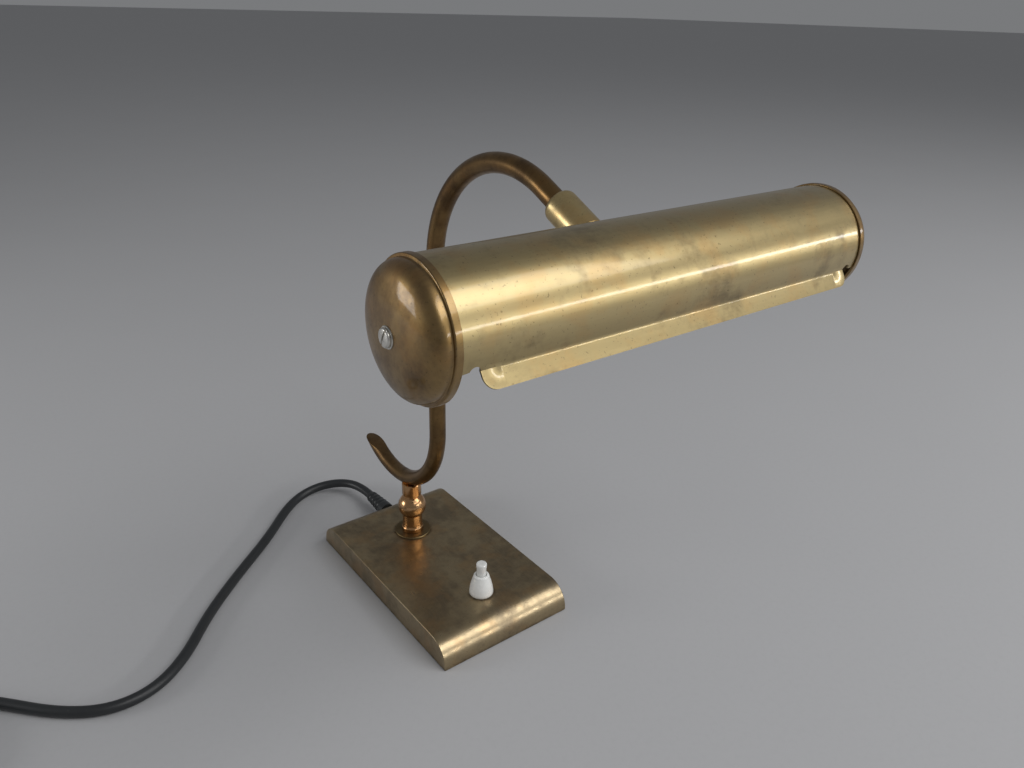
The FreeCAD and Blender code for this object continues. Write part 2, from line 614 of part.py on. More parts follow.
def switch_collar():
    """Rounded cone that screws down over the switch's thread and clamps the cover."""
    height = COLLAR_HEIGHT
    foot = V(COLLAR_FOOT_R - COLLAR_FOOT_ROUND, 0, 0)
    bulge = COLLAR_FOOT_ROUND * (1 - math.sqrt(0.5))
    low = V(COLLAR_FOOT_R, 0, COLLAR_FOOT_ROUND)
    waist = V(COLLAR_FOOT_R - COLLAR_WAIST_IN, 0, COLLAR_WAIST_AT)
    shoulder = V(COLLAR_TOP_R + COLLAR_SHOULDER_OUT, 0, height - COLLAR_TOP_ROUND)
    turn = V(COLLAR_TOP_R - COLLAR_ROUND_IN, 0, height - COLLAR_ROUND_DOWN)
    crown = V(COLLAR_TOP_R - COLLAR_CROWN_IN, 0, height)
    edges = [
        Part.Arc(foot, V(COLLAR_FOOT_R - bulge, 0, bulge), low).toShape(),
        Part.Arc(low, waist, shoulder).toShape(),
        Part.Arc(shoulder, turn, crown).toShape(),
    ]
    edges += polyline([(crown.x, height), (COLLAR_BORE_R, height), (COLLAR_BORE_R, SWITCH_THREAD_RISE),
                       (SWITCH_THREAD_R, SWITCH_THREAD_RISE), (SWITCH_THREAD_R, 0), (foot.x, 0)])
    collar = turned(edges)
    collar.translate(V(0, SWITCH_Y, COVER_TOP))
    return collar


def switch_button():
    seat = CAVITY_TOP - BUTTON_SEAT_GAP
    neck = BUTTON_TOP - BUTTON_HEAD
    outline = [(0, FLANGE_FOOT), (BUTTON_FLANGE_R, FLANGE_FOOT), (BUTTON_FLANGE_R, seat), (BUTTON_R, seat),
               (BUTTON_R, neck - BUTTON_TAPER), (BUTTON_HEAD_R, neck),
               (BUTTON_HEAD_R, BUTTON_TOP - BUTTON_BEVEL), (BUTTON_HEAD_R - BUTTON_BEVEL, BUTTON_TOP),
               (0, BUTTON_TOP)]
    button = lathe(outline)
    button.translate(V(0, SWITCH_Y, 0))
    return button


def switch_spring():
    rise = FLANGE_FOOT - SPRING_FOOT - 2 * (SPRING_WIRE_R + SPRING_END_GAP)
    helix = Part.makeHelix(rise / SPRING_TURNS, rise, SPRING_R)
    profile = Part.Wire(Part.makeCircle(SPRING_WIRE_R, V(SPRING_R, 0, 0), AXIS_Y))
    spring = Part.Wire(helix).makePipeShell([profile], True, True)
    spring.translate(V(0, SWITCH_Y, SPRING_FOOT + SPRING_WIRE_R + SPRING_END_GAP))
    return spring


def switch_terminal(side):
    x = side * TERMINAL_SPREAD
    y = SWITCH_Y + SWITCH_BODY_R
    foot = SWITCH_BODY_FOOT + TERMINAL_RISE
    return block(x - TERMINAL_HALF, x + TERMINAL_HALF, y, y + TERMINAL_LENGTH, foot, foot + TERMINAL_THICK)


# ---- stem --------------------------------------------------------------------------------------
def stem_flange():
    start = V(0, STEM_Y, COVER_TOP)
    return ring(FLANGE_R, NIPPLE_R + HOLE_CLEARANCE, start, FLANGE_THICK, AXIS_Z)


def stem_column():
    foot = COVER_TOP + FLANGE_THICK
    ball = COVER_TOP + STEM_BALL_RISE
    collar = COVER_TOP + STEM_COLLAR_FOOT
    low_angle = -math.acos(STEM_NECK_R / STEM_BALL_R)
    high_angle = math.acos(STEM_GROOVE_R / STEM_BALL_R)
    low = V(STEM_NECK_R, 0, ball + STEM_BALL_R * math.sin(low_angle))
    high = V(STEM_GROOVE_R, 0, ball + STEM_BALL_R * math.sin(high_angle))
    edges = polyline([(0, foot), (STEM_FOOT_R, foot), (STEM_FOOT_R, foot + STEM_FOOT_HEIGHT),
                      (STEM_NECK_R, foot + STEM_NECK_START), (low.x, low.z)])
    edges.append(Part.Arc(low, V(STEM_BALL_R, 0, ball), high).toShape())
    edges += polyline([(high.x, high.z), (STEM_GROOVE_R, collar), (STEM_COLLAR_R, collar + STEM_COLLAR_BEVEL),
                       (STEM_COLLAR_R, STEM_TOP), (0, STEM_TOP), (0, foot)])
    column = turned(edges)
    column = column.cut(rod(NIPPLE_R, V(0, 0, foot), NIPPLE_IN_STEM, AXIS_Z))
    column = column.cut(rod(STEM_BORE_R, V(0, 0, foot), STEM_TOP - foot, AXIS_Z))
    column.translate(V(0, STEM_Y, 0))
    return column.cut(tube_on(arm_wire(), ARM_R))


def stem_nipple():
    foot = CHANNEL_TOP - STEM_WASHER_THICK - NUT_THICK - NIPPLE_TAIL
    top = COVER_TOP + FLANGE_THICK + NIPPLE_IN_STEM
    return ring(NIPPLE_R, NIPPLE_BORE_R, V(0, STEM_Y, foot), top - foot, AXIS_Z)


def stem_washer():
    start = V(0, STEM_Y, CHANNEL_TOP - STEM_WASHER_THICK)
    rim = NUT_ACROSS / 2 + STEM_WASHER_OVER
    return ring(rim, NIPPLE_R + HOLE_CLEARANCE, start, STEM_WASHER_THICK, AXIS_Z)


def stem_nut():
    return hex_nut(NUT_ACROSS, NIPPLE_R, V(0, STEM_Y, CHANNEL_TOP - STEM_WASHER_THICK - NUT_THICK),
                   NUT_THICK, AXIS_Z)


# ---- arm ---------------------------------------------------------------------------------------
def hook_point(degrees, radius=HOOK_RADIUS):
    angle = math.radians(degrees)
    return HOOK_CENTRE + V(0, radius * math.cos(angle), radius * math.sin(angle))


def arm_wire():
    """Centre line of the arm: hook, vertical run, arch and straight end."""
    foot = V(0, ARM_Y, HOOK_CENTRE.z)
    shoulder = V(0, ARM_Y, ARCH_FOOT)
    half = ARCH_ANGLE / 2
    arch_middle = ARCH_CENTRE + V(0, ARCH_RADIUS * math.cos(half), ARCH_RADIUS * math.sin(half))
    end = ARM_FRAME.multVec(V(0, 0, ARM_END_RUN))
    edges = [
        Part.Arc(hook_point(HOOK_TIP + HOOK_OVERRUN), hook_point((HOOK_TIP - 180) / 2), foot).toShape(),
        Part.LineSegment(foot, shoulder).toShape(),
        Part.Arc(shoulder, arch_middle, ARCH_END).toShape(),
        Part.LineSegment(ARCH_END, end).toShape(),
    ]
    return Part.Wire(edges)


def above_hook_cut():
    """Everything on the open side of the slanting cut that ends the hook."""
    inner = hook_point(HOOK_START_CUT, HOOK_RADIUS - ARM_R)
    tip = hook_point(HOOK_TIP, HOOK_RADIUS + ARM_R)
    run = tip - inner
    run.normalize()
    lift = AXIS_X.cross(run)
    inner = inner - run * CUT_START
    outer = inner + run * CUT_RUN
    lift = lift * CUT_DEPTH
    side = AXIS_X * (CUT_DEPTH / 2)
    face = Part.Face(Part.makePolygon([p - side for p in (inner, outer, outer + lift, inner + lift, inner)]))
    return face.extrude(side * 2)


def arm_tube():
    wire = arm_wire()
    tube = tube_on(wire, ARM_R).cut(tube_on(wire, ARM_BORE_R))
    wire_hole = rod(STEM_BORE_R - ARM_HOLE_UNDER, V(0, STEM_Y, STEM_TOP - ARM_HOLE_REACH),
                    ARM_R + ARM_HOLE_REACH, AXIS_Z)
    return tube.cut(above_hook_cut()).cut(wire_hole)


def hook_plug():
    """Brass filling brazed into the hook's end and filed flush with the slanting cut."""
    arc = Part.Arc(hook_point(HOOK_TIP + HOOK_OVERRUN), hook_point((HOOK_TIP + HOOK_PLUG_START) / 2),
                   hook_point(HOOK_PLUG_START)).toShape()
    return tube_on(Part.Wire([arc]), ARM_BORE_R).cut(above_hook_cut())


# ---- swivel, built along the arm's straight end -------------------------------------------------
def swivel_collar():
    start = FERRULE_START + FERRULE_FACE + SWIVEL_WASHER_THICK + SWIVEL_WASHER_GAP
    return along(ring(SWIVEL_COLLAR_R, ARM_R, V(0, 0, start), SWIVEL_COLLAR_LENGTH, AXIS_Z), ARM_FRAME)


def swivel_washer():
    start = FERRULE_START + FERRULE_FACE
    washer = ring(SWIVEL_COLLAR_R, ARM_R + SWIVEL_WASHER_BORE, V(0, 0, start), SWIVEL_WASHER_THICK, AXIS_Z)
    return along(washer, ARM_FRAME)


def ferrule():
    face_r = FERRULE_R - FERRULE_ROUND
    bulge = FERRULE_ROUND * math.sqrt(0.5)
    bore = ARM_R + SWIVEL_CLEARANCE
    nose = V(face_r + FERRULE_NOSE, 0, FERRULE_START)
    edge = V(FERRULE_R, 0, FERRULE_START + FERRULE_ROUND)
    middle = V(face_r + bulge + FERRULE_BULGE, 0, FERRULE_START + FERRULE_ROUND - bulge)
    edges = [Part.Arc(nose, middle, edge).toShape()]
    edges += polyline([(edge.x, edge.z), (FERRULE_R, FERRULE_END), (FERRULE_BORE_R, FERRULE_END),
                       (FERRULE_BORE_R, FERRULE_START + FERRULE_FACE), (bore, FERRULE_START + FERRULE_FACE),
                       (bore, FERRULE_START), (nose.x, nose.z)])
    return along(turned(edges), ARM_FRAME)


def knuckle_fork():
    shank = rod(FERRULE_BORE_R, V(0, 0, FORK_START), FERRULE_END - FORK_START, AXIS_Z)
    neck = rod(FORK_R, V(0, 0, FERRULE_END), PIVOT_AT - FERRULE_END, AXIS_Z)
    eye = rod(FORK_R, V(-FORK_R, 0, PIVOT_AT), 2 * FORK_R, AXIS_X)
    tip = eye.common(rod(FORK_R, V(0, 0, PIVOT_AT - FORK_R), 2 * FORK_R, AXIS_Z))
    fork = shank.fuse([neck, tip]).removeSplitter()
    for side in (-1, 1):
        cheek = block(FORK_FLAT, 2 * FORK_R, -FORK_R, FORK_R, FERRULE_END, PIVOT_AT + FORK_R)
        fork = fork.cut(cheek if side > 0 else mirrored(cheek))
    slot = TONGUE_THICK / 2 + FRICTION_WASHER + WASHER_GAP
    fork = fork.cut(block(-slot, slot, -FERRULE_R, FERRULE_R, PIVOT_AT - SLOT_DEPTH,
                          PIVOT_AT + FORK_R + BLEND))
    fork = fork.cut(rod(ARM_BORE_R - FORK_BORE_UNDER, V(0, 0, FORK_START),
                        PIVOT_AT - SLOT_DEPTH - FORK_START, AXIS_Z))
    fork = fork.cut(rod(PIVOT_R + PIVOT_CLEARANCE, V(-FORK_R, 0, PIVOT_AT), 2 * FORK_R, AXIS_X))
    return along(fork, ARM_FRAME)


def friction_washer(side):
    start = TONGUE_THICK / 2 if side > 0 else -TONGUE_THICK / 2 - FRICTION_WASHER
    start += side * WASHER_GAP / 2
    washer = ring(TONGUE_EYE_R, PIVOT_R + HOLE_CLEARANCE, V(start, 0, PIVOT_AT), FRICTION_WASHER, AXIS_X)
    return along(washer, ARM_FRAME)


def pivot_screw():
    tail = FORK_FLAT + PIVOT_NUT_THICK + PIVOT_TAIL
    shank = rod(PIVOT_R, V(-tail, 0, PIVOT_AT), tail + FORK_FLAT, AXIS_X)
    head = rod(PIVOT_HEAD_R, V(FORK_FLAT, 0, PIVOT_AT), PIVOT_HEAD_THICK, AXIS_X)
    rim = [e for e in head.Edges if abs(e.BoundBox.XMin - FORK_FLAT - PIVOT_HEAD_THICK) < 1e-6]
    head = head.makeFillet(PIVOT_HEAD_ROUND, rim)
    screw = head.fuse(shank).removeSplitter()
    slot_top = FORK_FLAT + PIVOT_HEAD_THICK
    screw = screw.cut(block(slot_top - PIVOT_SLOT_DEPTH, slot_top, -PIVOT_HEAD_R, PIVOT_HEAD_R,
                            PIVOT_AT - PIVOT_SLOT_HALF, PIVOT_AT + PIVOT_SLOT_HALF))
    return along(screw, ARM_FRAME)


def pivot_nut():
    nut = hex_nut(PIVOT_NUT_ACROSS, PIVOT_R, V(-FORK_FLAT, 0, PIVOT_AT), PIVOT_NUT_THICK, V(-1, 0, 0))
    return along(nut, ARM_FRAME)


# ---- knuckle tongue and stud, built along the stud ----------------------------------------------
def knuckle_tongue():
    half = TONGUE_THICK / 2
    eye = rod(TONGUE_EYE_R, V(-half, 0, 0), TONGUE_THICK, AXIS_X)
    neck = block(-half, half, -TONGUE_NECK / 2, TONGUE_NECK / 2, 0,
                 STUD_SHOULDER_AT + BLEND)
    shoulder = rod(STUD_SHOULDER_R, V(0, 0, STUD_SHOULDER_AT), SHOULDER_THICK + 3 * BLEND, AXIS_Z)
    drum = rod(SHADE_R, V(-DRUM_HALF, 0, PIVOT_TO_SHADE), 2 * DRUM_HALF, AXIS_X)
    stud_end = STUD_NUT_AT + NUT_THICK + STUD_BEYOND_NUT
    stud = rod(STUD_R, V(0, 0, STUD_SHOULDER_AT + BLEND), stud_end - STUD_SHOULDER_AT - BLEND, AXIS_Z)
    tongue = eye.fuse([neck, shoulder.cut(drum), stud]).removeSplitter()
    tongue = tongue.cut(rod(PIVOT_R + PIVOT_CLEARANCE, V(-half, 0, 0), TONGUE_THICK, AXIS_X))
    tongue = tongue.cut(rod(STUD_BORE_R, V(0, 0, STUD_SHOULDER_AT + 2 * BLEND), stud_end, AXIS_Z))
    return along(tongue, STUD_FRAME)


def stud_saddle():
    """Spacer between the round wall of the shade and the flat rail."""
    spacer = ring(SADDLE_R, STUD_R + HOLE_CLEARANCE, V(0, 0, WALL_AT), RAIL_AT - WALL_AT, AXIS_Z)
    bore = rod(SHADE_BORE_R, V(-DRUM_HALF, 0, PIVOT_TO_SHADE), 2 * DRUM_HALF, AXIS_X)
    return along(spacer.common(bore), STUD_FRAME)


def stud_nut():
    return along(hex_nut(STUD_NUT_ACROSS, STUD_R, V(0, 0, STUD_NUT_AT), NUT_THICK, AXIS_Z), STUD_FRAME)


# ---- shade, built about its own axis ------------------------------------------------------------
def shade_tube():
    half_angle = math.radians(OPEN_HALF_ANGLE)
    length = SHADE_SPAN + 2 * (CAP_SKIRT - TUBE_END_GAP)
    edge = V(0, -SHADE_R * math.sin(half_angle), -SHADE_R * math.cos(half_angle))
    wall = ring(SHADE_R, SHADE_BORE_R, V(-length / 2, 0, 0), length, AXIS_X)
    wedge = Part.Face(Part.makePolygon([
        V(-length, 0, 0), V(-length, edge.y * 2, edge.z * 2), V(-length, 0, -3 * SHADE_R),
        V(-length, -edge.y * 2, edge.z * 2), V(-length, 0, 0)])).extrude(V(2 * length, 0, 0))
    tube = wall.cut(wedge)
    for side in (-1, 1):
        tube = tube.fuse(shade_lip(side))
    tube = tube.removeSplitter()
    for end in (-1, 1):
        for side in (-1, 1):
            tube = tube.cut(lip_relief(end, side))
    hole = rod(STUD_R + HOLE_CLEARANCE, ORIGIN, 2 * SHADE_R, AXIS_Z)
    tube = tube.cut(along(hole, FreeCAD.Placement(ORIGIN, FreeCAD.Rotation(AXIS_X, STUD_RISE - 90))))
    return along(tube, SHADE_FRAME)


def shade_lip(side):
    """Sheet bent outwards along one edge of the opening, with rounded corners; side -1 is the front."""
    half_angle = math.radians(OPEN_HALF_ANGLE)
    run = LIP_RUN
    radius = LIP_CORNER_R
    width = LIP_WIDTH
    corner = radius * (1 - math.sqrt(0.5))
    outline = [
        Part.LineSegment(V(-run, 0, 0), V(-run, 0, width - radius)).toShape(),
        Part.Arc(V(-run, 0, width - radius), V(-run + corner, 0, width - corner),
                 V(-run + radius, 0, width)).toShape(),
        Part.LineSegment(V(-run + radius, 0, width), V(run - radius, 0, width)).toShape(),
        Part.Arc(V(run - radius, 0, width), V(run - corner, 0, width - corner),
                 V(run, 0, width - radius)).toShape(),
        Part.LineSegment(V(run, 0, width - radius), V(run, 0, 0)).toShape(),
        Part.LineSegment(V(run, 0, 0), V(-run, 0, 0)).toShape(),
    ]
    sheet = Part.Face(Part.Wire(outline)).extrude(V(0, SHADE_SHEET, 0))
    turn = 270 - LIP_DROP_ANGLE
    edge = V(0, -SHADE_R * math.sin(half_angle), -SHADE_R * math.cos(half_angle))
    lip = along(sheet, FreeCAD.Placement(edge, FreeCAD.Rotation(AXIS_X, -turn)))
    return lip if side < 0 else lip.mirror(ORIGIN, AXIS_Y)


def lip_relief(end, side):
    """Shallow round notch in the edge of the tube beside a lip's end."""
    half_angle = math.radians(OPEN_HALF_ANGLE)
    middle = end * (LIP_RUN + NOTCH_DEPTH)
    start = V(middle, 0, 0)
    heading = V(0, side * math.sin(half_angle), -math.cos(half_angle))
    return rod(NOTCH_DEPTH, start, 2 * SHADE_R, heading)


def dome_curve(radius, rise, foot):
    """Half section of a dome, from its crest down to its foot."""
    power = 2 / DOME_FULLNESS
    angles = [math.pi / 2 * i / DOME_POINTS for i in range(DOME_POINTS + 1)]
    points = [V(radius * math.sin(a) ** power, 0, foot + rise * max(0, math.cos(a)) ** power) for a in angles]
    points[-1] = V(radius, 0, foot)
    curve = Part.BSplineCurve()
    curve.interpolate(points, InitialTangent=AXIS_X, FinalTangent=V(0, 0, -1))
    return curve.toShape()


def cap_shell():
    """Spun cap on the +X end: a skirt over the tube, a small step, and a shallow dome."""
    skirt_out = SHADE_R + CAP_CLEARANCE + CAP_SHEET
    skirt_in = SHADE_R + CAP_CLEARANCE
    step = CAP_SKIRT + CAP_STEP
    edges = [dome_curve(CAP_DOME_R, CAP_DOME_RISE, step),
             dome_curve(CAP_DOME_R - CAP_SHEET, CAP_DOME_RISE - CAP_SHEET, step)]
    edges += polyline([(CAP_DOME_R, step), (skirt_out - CAP_BEAD_IN, step - CAP_BEAD_STEP),
                       (skirt_out, step - CAP_BEAD_DROP),
                       (skirt_out, 0), (skirt_in, 0), (skirt_in, CAP_SKIRT),
                       (CAP_DOME_R - CAP_SHEET, CAP_SKIRT), (CAP_DOME_R - CAP_SHEET, step)])
    edges += polyline([(0, step + CAP_DOME_RISE - CAP_SHEET), (0, step + CAP_DOME_RISE)])
    cap = turned(edges)
    cap = cap.cut(rod(CAP_HOLE_R, V(0, 0, step), 2 * CAP_DOME_RISE, AXIS_Z))
    return along(cap, FreeCAD.Placement(V(CAP_RIM, 0, 0), FreeCAD.Rotation(AXIS_Y, 90)))


def dome_height(radius):
    """Height of the dome's outside above its foot, at a distance from its axis."""
    return CAP_DOME_RISE * (1 - (radius / CAP_DOME_R) ** DOME_FULLNESS) ** (1 / DOME_FULLNESS)


def cap_washer():
    """Dished washer that seats on the crest of the dome."""
    top = CAP_DOME_RISE + CAP_WASHER_THICK
    inner = dome_height(CAP_HOLE_R) + CAP_WASHER_SEAT
    outer = dome_height(CAP_WASHER_R) + CAP_WASHER_SEAT
    washer = lathe([(CAP_HOLE_R, inner), (CAP_WASHER_R, outer), (CAP_WASHER_R, top), (CAP_HOLE_R, top)])
    return along(washer, FreeCAD.Placement(V(CAP_CREST - CAP_DOME_RISE, 0, 0), FreeCAD.Rotation(AXIS_Y, 90)))


def cap_screw():
    seat = CAP_CREST + CAP_WASHER_THICK
    end = TAB_OUTER - RAIL_THICK - CAP_NUT_THICK - CAP_SCREW_TAIL
    shank = rod(CAP_SCREW_R, V(end, 0, 0), seat - end, AXIS_X)
    head = rod(CAP_SCREW_HEAD_R, V(seat, 0, 0), CAP_SCREW_HEAD, AXIS_X)
    rim = [e for e in head.Edges if abs(e.BoundBox.XMin - seat - CAP_SCREW_HEAD) < 1e-6]
    head = head.makeFillet(CAP_SCREW_ROUND, rim)
    top = seat + CAP_SCREW_HEAD
    slot = block(top - CAP_SLOT_DEPTH, top, -CAP_SCREW_HEAD_R, CAP_SCREW_HEAD_R,
                 -CAP_SLOT_HALF, CAP_SLOT_HALF)
    return head.fuse(shank).removeSplitter().cut(slot)


def cap_nut():
    return hex_nut(CAP_NUT_ACROSS, CAP_SCREW_R, V(TAB_OUTER - RAIL_THICK, 0, 0), CAP_NUT_THICK, V(-1, 0, 0))


# The rail and what it carries are built with +Z towards the stud, then turned to it.
def shade_rail():
    half = RAIL_WIDTH / 2
    inner = RAIL_OUTER - RAIL_THICK
    strip = block(-TAB_OUTER, TAB_OUTER, -half, half, inner, RAIL_OUTER)
    pieces = []
    for end in (-1, 1):
        x0 = min(end * TAB_OUTER, end * (TAB_OUTER - RAIL_THICK))
        tab = block(x0, x0 + RAIL_THICK, -half, half, 0, inner)
        pieces += [tab, rod(half, V(x0, 0, 0), RAIL_THICK, AXIS_X)]
    rail = strip.fuse(pieces).removeSplitter()
    rail = rail.cut(rod(CAP_SCREW_R + HOLE_CLEARANCE, V(-TAB_OUTER, 0, 0), 2 * TAB_OUTER, AXIS_X))
    return rail.cut(rod(STUD_R + HOLE_CLEARANCE, V(0, 0, inner), RAIL_THICK, AXIS_Z))


def holder_bracket():
    half = BRACKET_WIDTH / 2
    foot = block(HOLDER_BACK - BRACKET_FOOT, HOLDER_BACK + RAIL_THICK, -half, half,
                 BRACKET_TOP - RAIL_THICK, BRACKET_TOP)
    leg = block(HOLDER_BACK, HOLDER_BACK + RAIL_THICK, -half, half, 0, BRACKET_TOP - RAIL_THICK)
    leg = leg.fuse(rod(half, V(HOLDER_BACK, 0, 0), RAIL_THICK, AXIS_X))
    bracket = foot.fuse(leg).removeSplitter()
    bracket = bracket.cut(rod(HOLDER_BOSS_R, V(HOLDER_BACK, 0, 0), RAIL_THICK, AXIS_X))
    hole = rod(BRACKET_SCREW_R, V(BRACKET_SCREW_X, 0, BRACKET_TOP - RAIL_THICK), RAIL_THICK, AXIS_Z)
    return bracket.cut(hole)


def bracket_screw():
    foot = V(BRACKET_SCREW_X, 0, BRACKET_TOP - RAIL_THICK - BRACKET_SCREW_HEAD)
    head = rod(BRACKET_SCREW_HEAD_R, foot, BRACKET_SCREW_HEAD, AXIS_Z)
    shank = rod(BRACKET_SCREW_R, foot, BRACKET_SCREW_HEAD + RAIL_THICK, AXIS_Z)
    return head.fuse(shank).removeSplitter()


def lampholder():
    """Moulded small-screw lampholder, open towards the middle of the shade."""
    mouth = HOLDER_MOUTH
    inner = LAMP_CAP_R + LAMP_CAP_CLEARANCE
    body = rod(HOLDER_R, V(mouth, 0, 0), HOLDER_LENGTH, AXIS_X)
    body = body.makeFillet(HOLDER_ROUND, [e for e in body.Edges if abs(e.BoundBox.XMax - mouth) < 1e-6])
    body = body.cut(rod(inner, V(mouth, 0, 0), LAMP_CAP_LENGTH + LAMP_CONTACT, AXIS_X))
    body = body.cut(rod(HOLDER_R - HOLDER_WALL, V(mouth, 0, 0), HOLDER_RECESS, AXIS_X))
    boss = rod(HOLDER_BOSS_R, V(HOLDER_BACK, 0, 0), RAIL_THICK + HOLDER_NUT_THICK + HOLDER_BOSS_PROUD, AXIS_X)
    return body.fuse(boss).removeSplitter()


def holder_nut():
    seat = V(HOLDER_BACK + RAIL_THICK, 0, 0)
    return hex_nut(HOLDER_NUT_ACROSS, HOLDER_BOSS_R, seat, HOLDER_NUT_THICK, AXIS_X)


def lamp_cap():
    shell = rod(LAMP_CAP_R, V(LAMP_FOOT, 0, 0), LAMP_CAP_LENGTH, AXIS_X)
    contact = rod(LAMP_CONTACT_R, V(LAMP_FOOT + LAMP_CAP_LENGTH, 0, 0), LAMP_CONTACT, AXIS_X)
    socket = rod(LAMP_NECK_R, V(LAMP_FOOT, 0, 0), LAMP_NECK_IN_CAP + LAMP_NECK_CLEARANCE, AXIS_X)
    return shell.fuse(contact).removeSplitter().cut(socket)


def bulb_envelope(radius, neck, foot):
    """Turned bulb shape from a foot height to a half-round tip."""
    tip = LAMP_GLASS - LAMP_R
    diagonal = radius * math.sqrt(0.5)
    edges = polyline([(0, foot), (neck, foot), (neck, LAMP_NECK_TOP), (radius, LAMP_SHOULDER), (radius, tip)])
    edges.append(Part.Arc(V(radius, 0, tip), V(diagonal, 0, tip + diagonal), V(0, 0, tip + radius)).toShape())
    edges += polyline([(0, tip + radius), (0, foot)])
    return turned(edges)


def lamp_glass():
    """Tubular bulb with a round end, as a thin closed shell on a glass foot."""
    outer = bulb_envelope(LAMP_R, LAMP_NECK_R, -LAMP_NECK_IN_CAP)
    inner = bulb_envelope(LAMP_R - LAMP_SHELL, LAMP_NECK_R - LAMP_SHELL, LAMP_SHELL)
    return along(outer.cut(inner), FreeCAD.Placement(V(LAMP_FOOT, 0, 0), FreeCAD.Rotation(AXIS_Y, -90)))


def terminal_block():
    """Two-pole connector hung under the rail beside the stud."""
    half = BLOCK_WIDTH / 2
    body = block(BLOCK_START, BLOCK_START + BLOCK_LENGTH, -half, half, BRACKET_TOP - BLOCK_DEPTH, BRACKET_TOP)
    for y in (-BLOCK_BORE_Y, BLOCK_BORE_Y):
        start = V(BLOCK_START, y, BRACKET_TOP - BLOCK_BORE_DROP)
        body = body.cut(rod(BLOCK_BORE_R, start, BLOCK_LENGTH, AXIS_X))
    return body


def shade_wires():
    """Insulated leads from the stud to the connector, and on to the two lampholders."""
    face = BRACKET_TOP - BLOCK_BORE_DROP
    near = BLOCK_START
    far = BLOCK_START + BLOCK_LENGTH
    landing = HOLDER_MOUTH + SHADE_WIRE_ON_HOLDER
    right = landing - far
    left = landing - SHADE_WIRE_CROSSING
    rest = HOLDER_R + WIRE_R + HOLE_CLEARANCE
    wires = []
    for side in (-1, 1):
        y = BLOCK_BORE_Y * side
        wires.append([(0.6, 1.2 * side, BRACKET_TOP - NUT_THICK - 1.4), (1.6, 2.4 * side, face - 5.0),
                      (near - 5.0, 3.4 * side, face - 4.2), (near, y, face)])
        wires.append([(far, y, face), (far + 0.38 * right, 1.3 * y, face - 1.2),
                      (far + 0.74 * right, y, face + 0.2), (landing, 0.9 * y, rest)])
        wires.append([(near, y, face - 2.2), (-SHADE_WIRE_CROSSING, 1.6 * y, face - 4.2),
                      (-SHADE_WIRE_CROSSING - 0.48 * left, 1.2 * y, face - 1.0),
                      (-SHADE_WIRE_CROSSING - 0.79 * left, y, face + 0.2), (-landing, 0.9 * y, rest)])
    return [tube_on(rounded_route(wire), WIRE_R) for wire in wires]


# ---- wires in the base and the arm ---------------------------------------------------------------
def base_wires():
    """Two leads to the switch, and two up the stem."""
    start = CORD_INNER_END - 0.3
    wires = []
    for side in (-1, 1):
        wires.append([(CORD_X + 1.9 * side, start, CORD_Z - 0.8), (4.6 * side, STEM_Y + 3.5, 4.6),
                      (4.2 * side, STEM_Y - 25.0, 4.4), (4.0 * side, SWITCH_Y + 34.0, 4.8),
                      (4.2 * side, SWITCH_Y + SWITCH_BODY_R + TERMINAL_LENGTH + 0.1, SWITCH_BODY_FOOT + 1.4)])
        wires.append([(CORD_X + 0.95 * side, start, CORD_Z - 2.8), (1.1 * side, STEM_Y + 3.0, 4.2),
                      (1.2 * side, STEM_Y, CHANNEL_TOP), (1.1 * side, STEM_Y, STEM_TOP - 4.0)])
    return [tube_on(rounded_route(wire), WIRE_R) for wire in wires]


def arm_lead():
    """Twin lead inside the arm, from the stem to the ferrule."""
    stem_angle = math.degrees(math.atan2(-HOOK_STEM_DROP, STEM_Y - HOOK_CENTRE.y))
    foot = V(0, ARM_Y, HOOK_CENTRE.z)
    shoulder = V(0, ARM_Y, ARCH_FOOT)
    half = ARCH_ANGLE / 2
    arch_middle = ARCH_CENTRE + V(0, ARCH_RADIUS * math.cos(half), ARCH_RADIUS * math.sin(half))
    edges = [
        Part.Arc(hook_point(stem_angle), hook_point((stem_angle - 180) / 2), foot).toShape(),
        Part.LineSegment(foot, shoulder).toShape(),
        Part.Arc(shoulder, arch_middle, ARCH_END).toShape(),
        Part.LineSegment(ARCH_END, ARM_FRAME.multVec(V(0, 0, ARM_END_RUN + ARM_LEAD_BEYOND))).toShape(),
    ]
    return tube_on(Part.Wire(edges), ARM_LEAD_R)


# ---- mains lead ----------------------------------------------------------------------------------
def cord_boot():
    """Tapered rubber strain relief, seated on the rolled back edge and held by a flange inside."""
    root = V(CORD_X, HALF_LENGTH - ROLL_RADIUS / 2, CORD_Z)
    cone = Part.makeCone(BOOT_ROOT_R, BOOT_TIP_R, BOOT_END - root.y, root, AXIS_Y).cut(cover_block(0))
    neck = rod(BOOT_NECK_R, V(CORD_X, FLANGE_AT, CORD_Z), HALF_LENGTH - FLANGE_AT, AXIS_Y)
    flange = rod(BOOT_FLANGE_R, V(CORD_X, FLANGE_AT, CORD_Z), BOOT_FLANGE_THICK, AXIS_Y)
    boot = cone.fuse([neck, flange]).removeSplitter()
    return boot.cut(rod(CORD_R, V(CORD_X, FLANGE_AT, CORD_Z), BOOT_END - FLANGE_AT, AXIS_Y))


def cord_inner_end():
    return rod(CORD_R, V(CORD_X, CORD_INNER_END, CORD_Z), BOOT_END - CORD_INNER_END, AXIS_Y)


def coil_section():
    half = COIL_COLUMNS * CORD_R
    return COIL_MID_R - half, COIL_MID_R + half, COIL_FOOT, COIL_FOOT + 2 * COIL_LAYERS * CORD_R


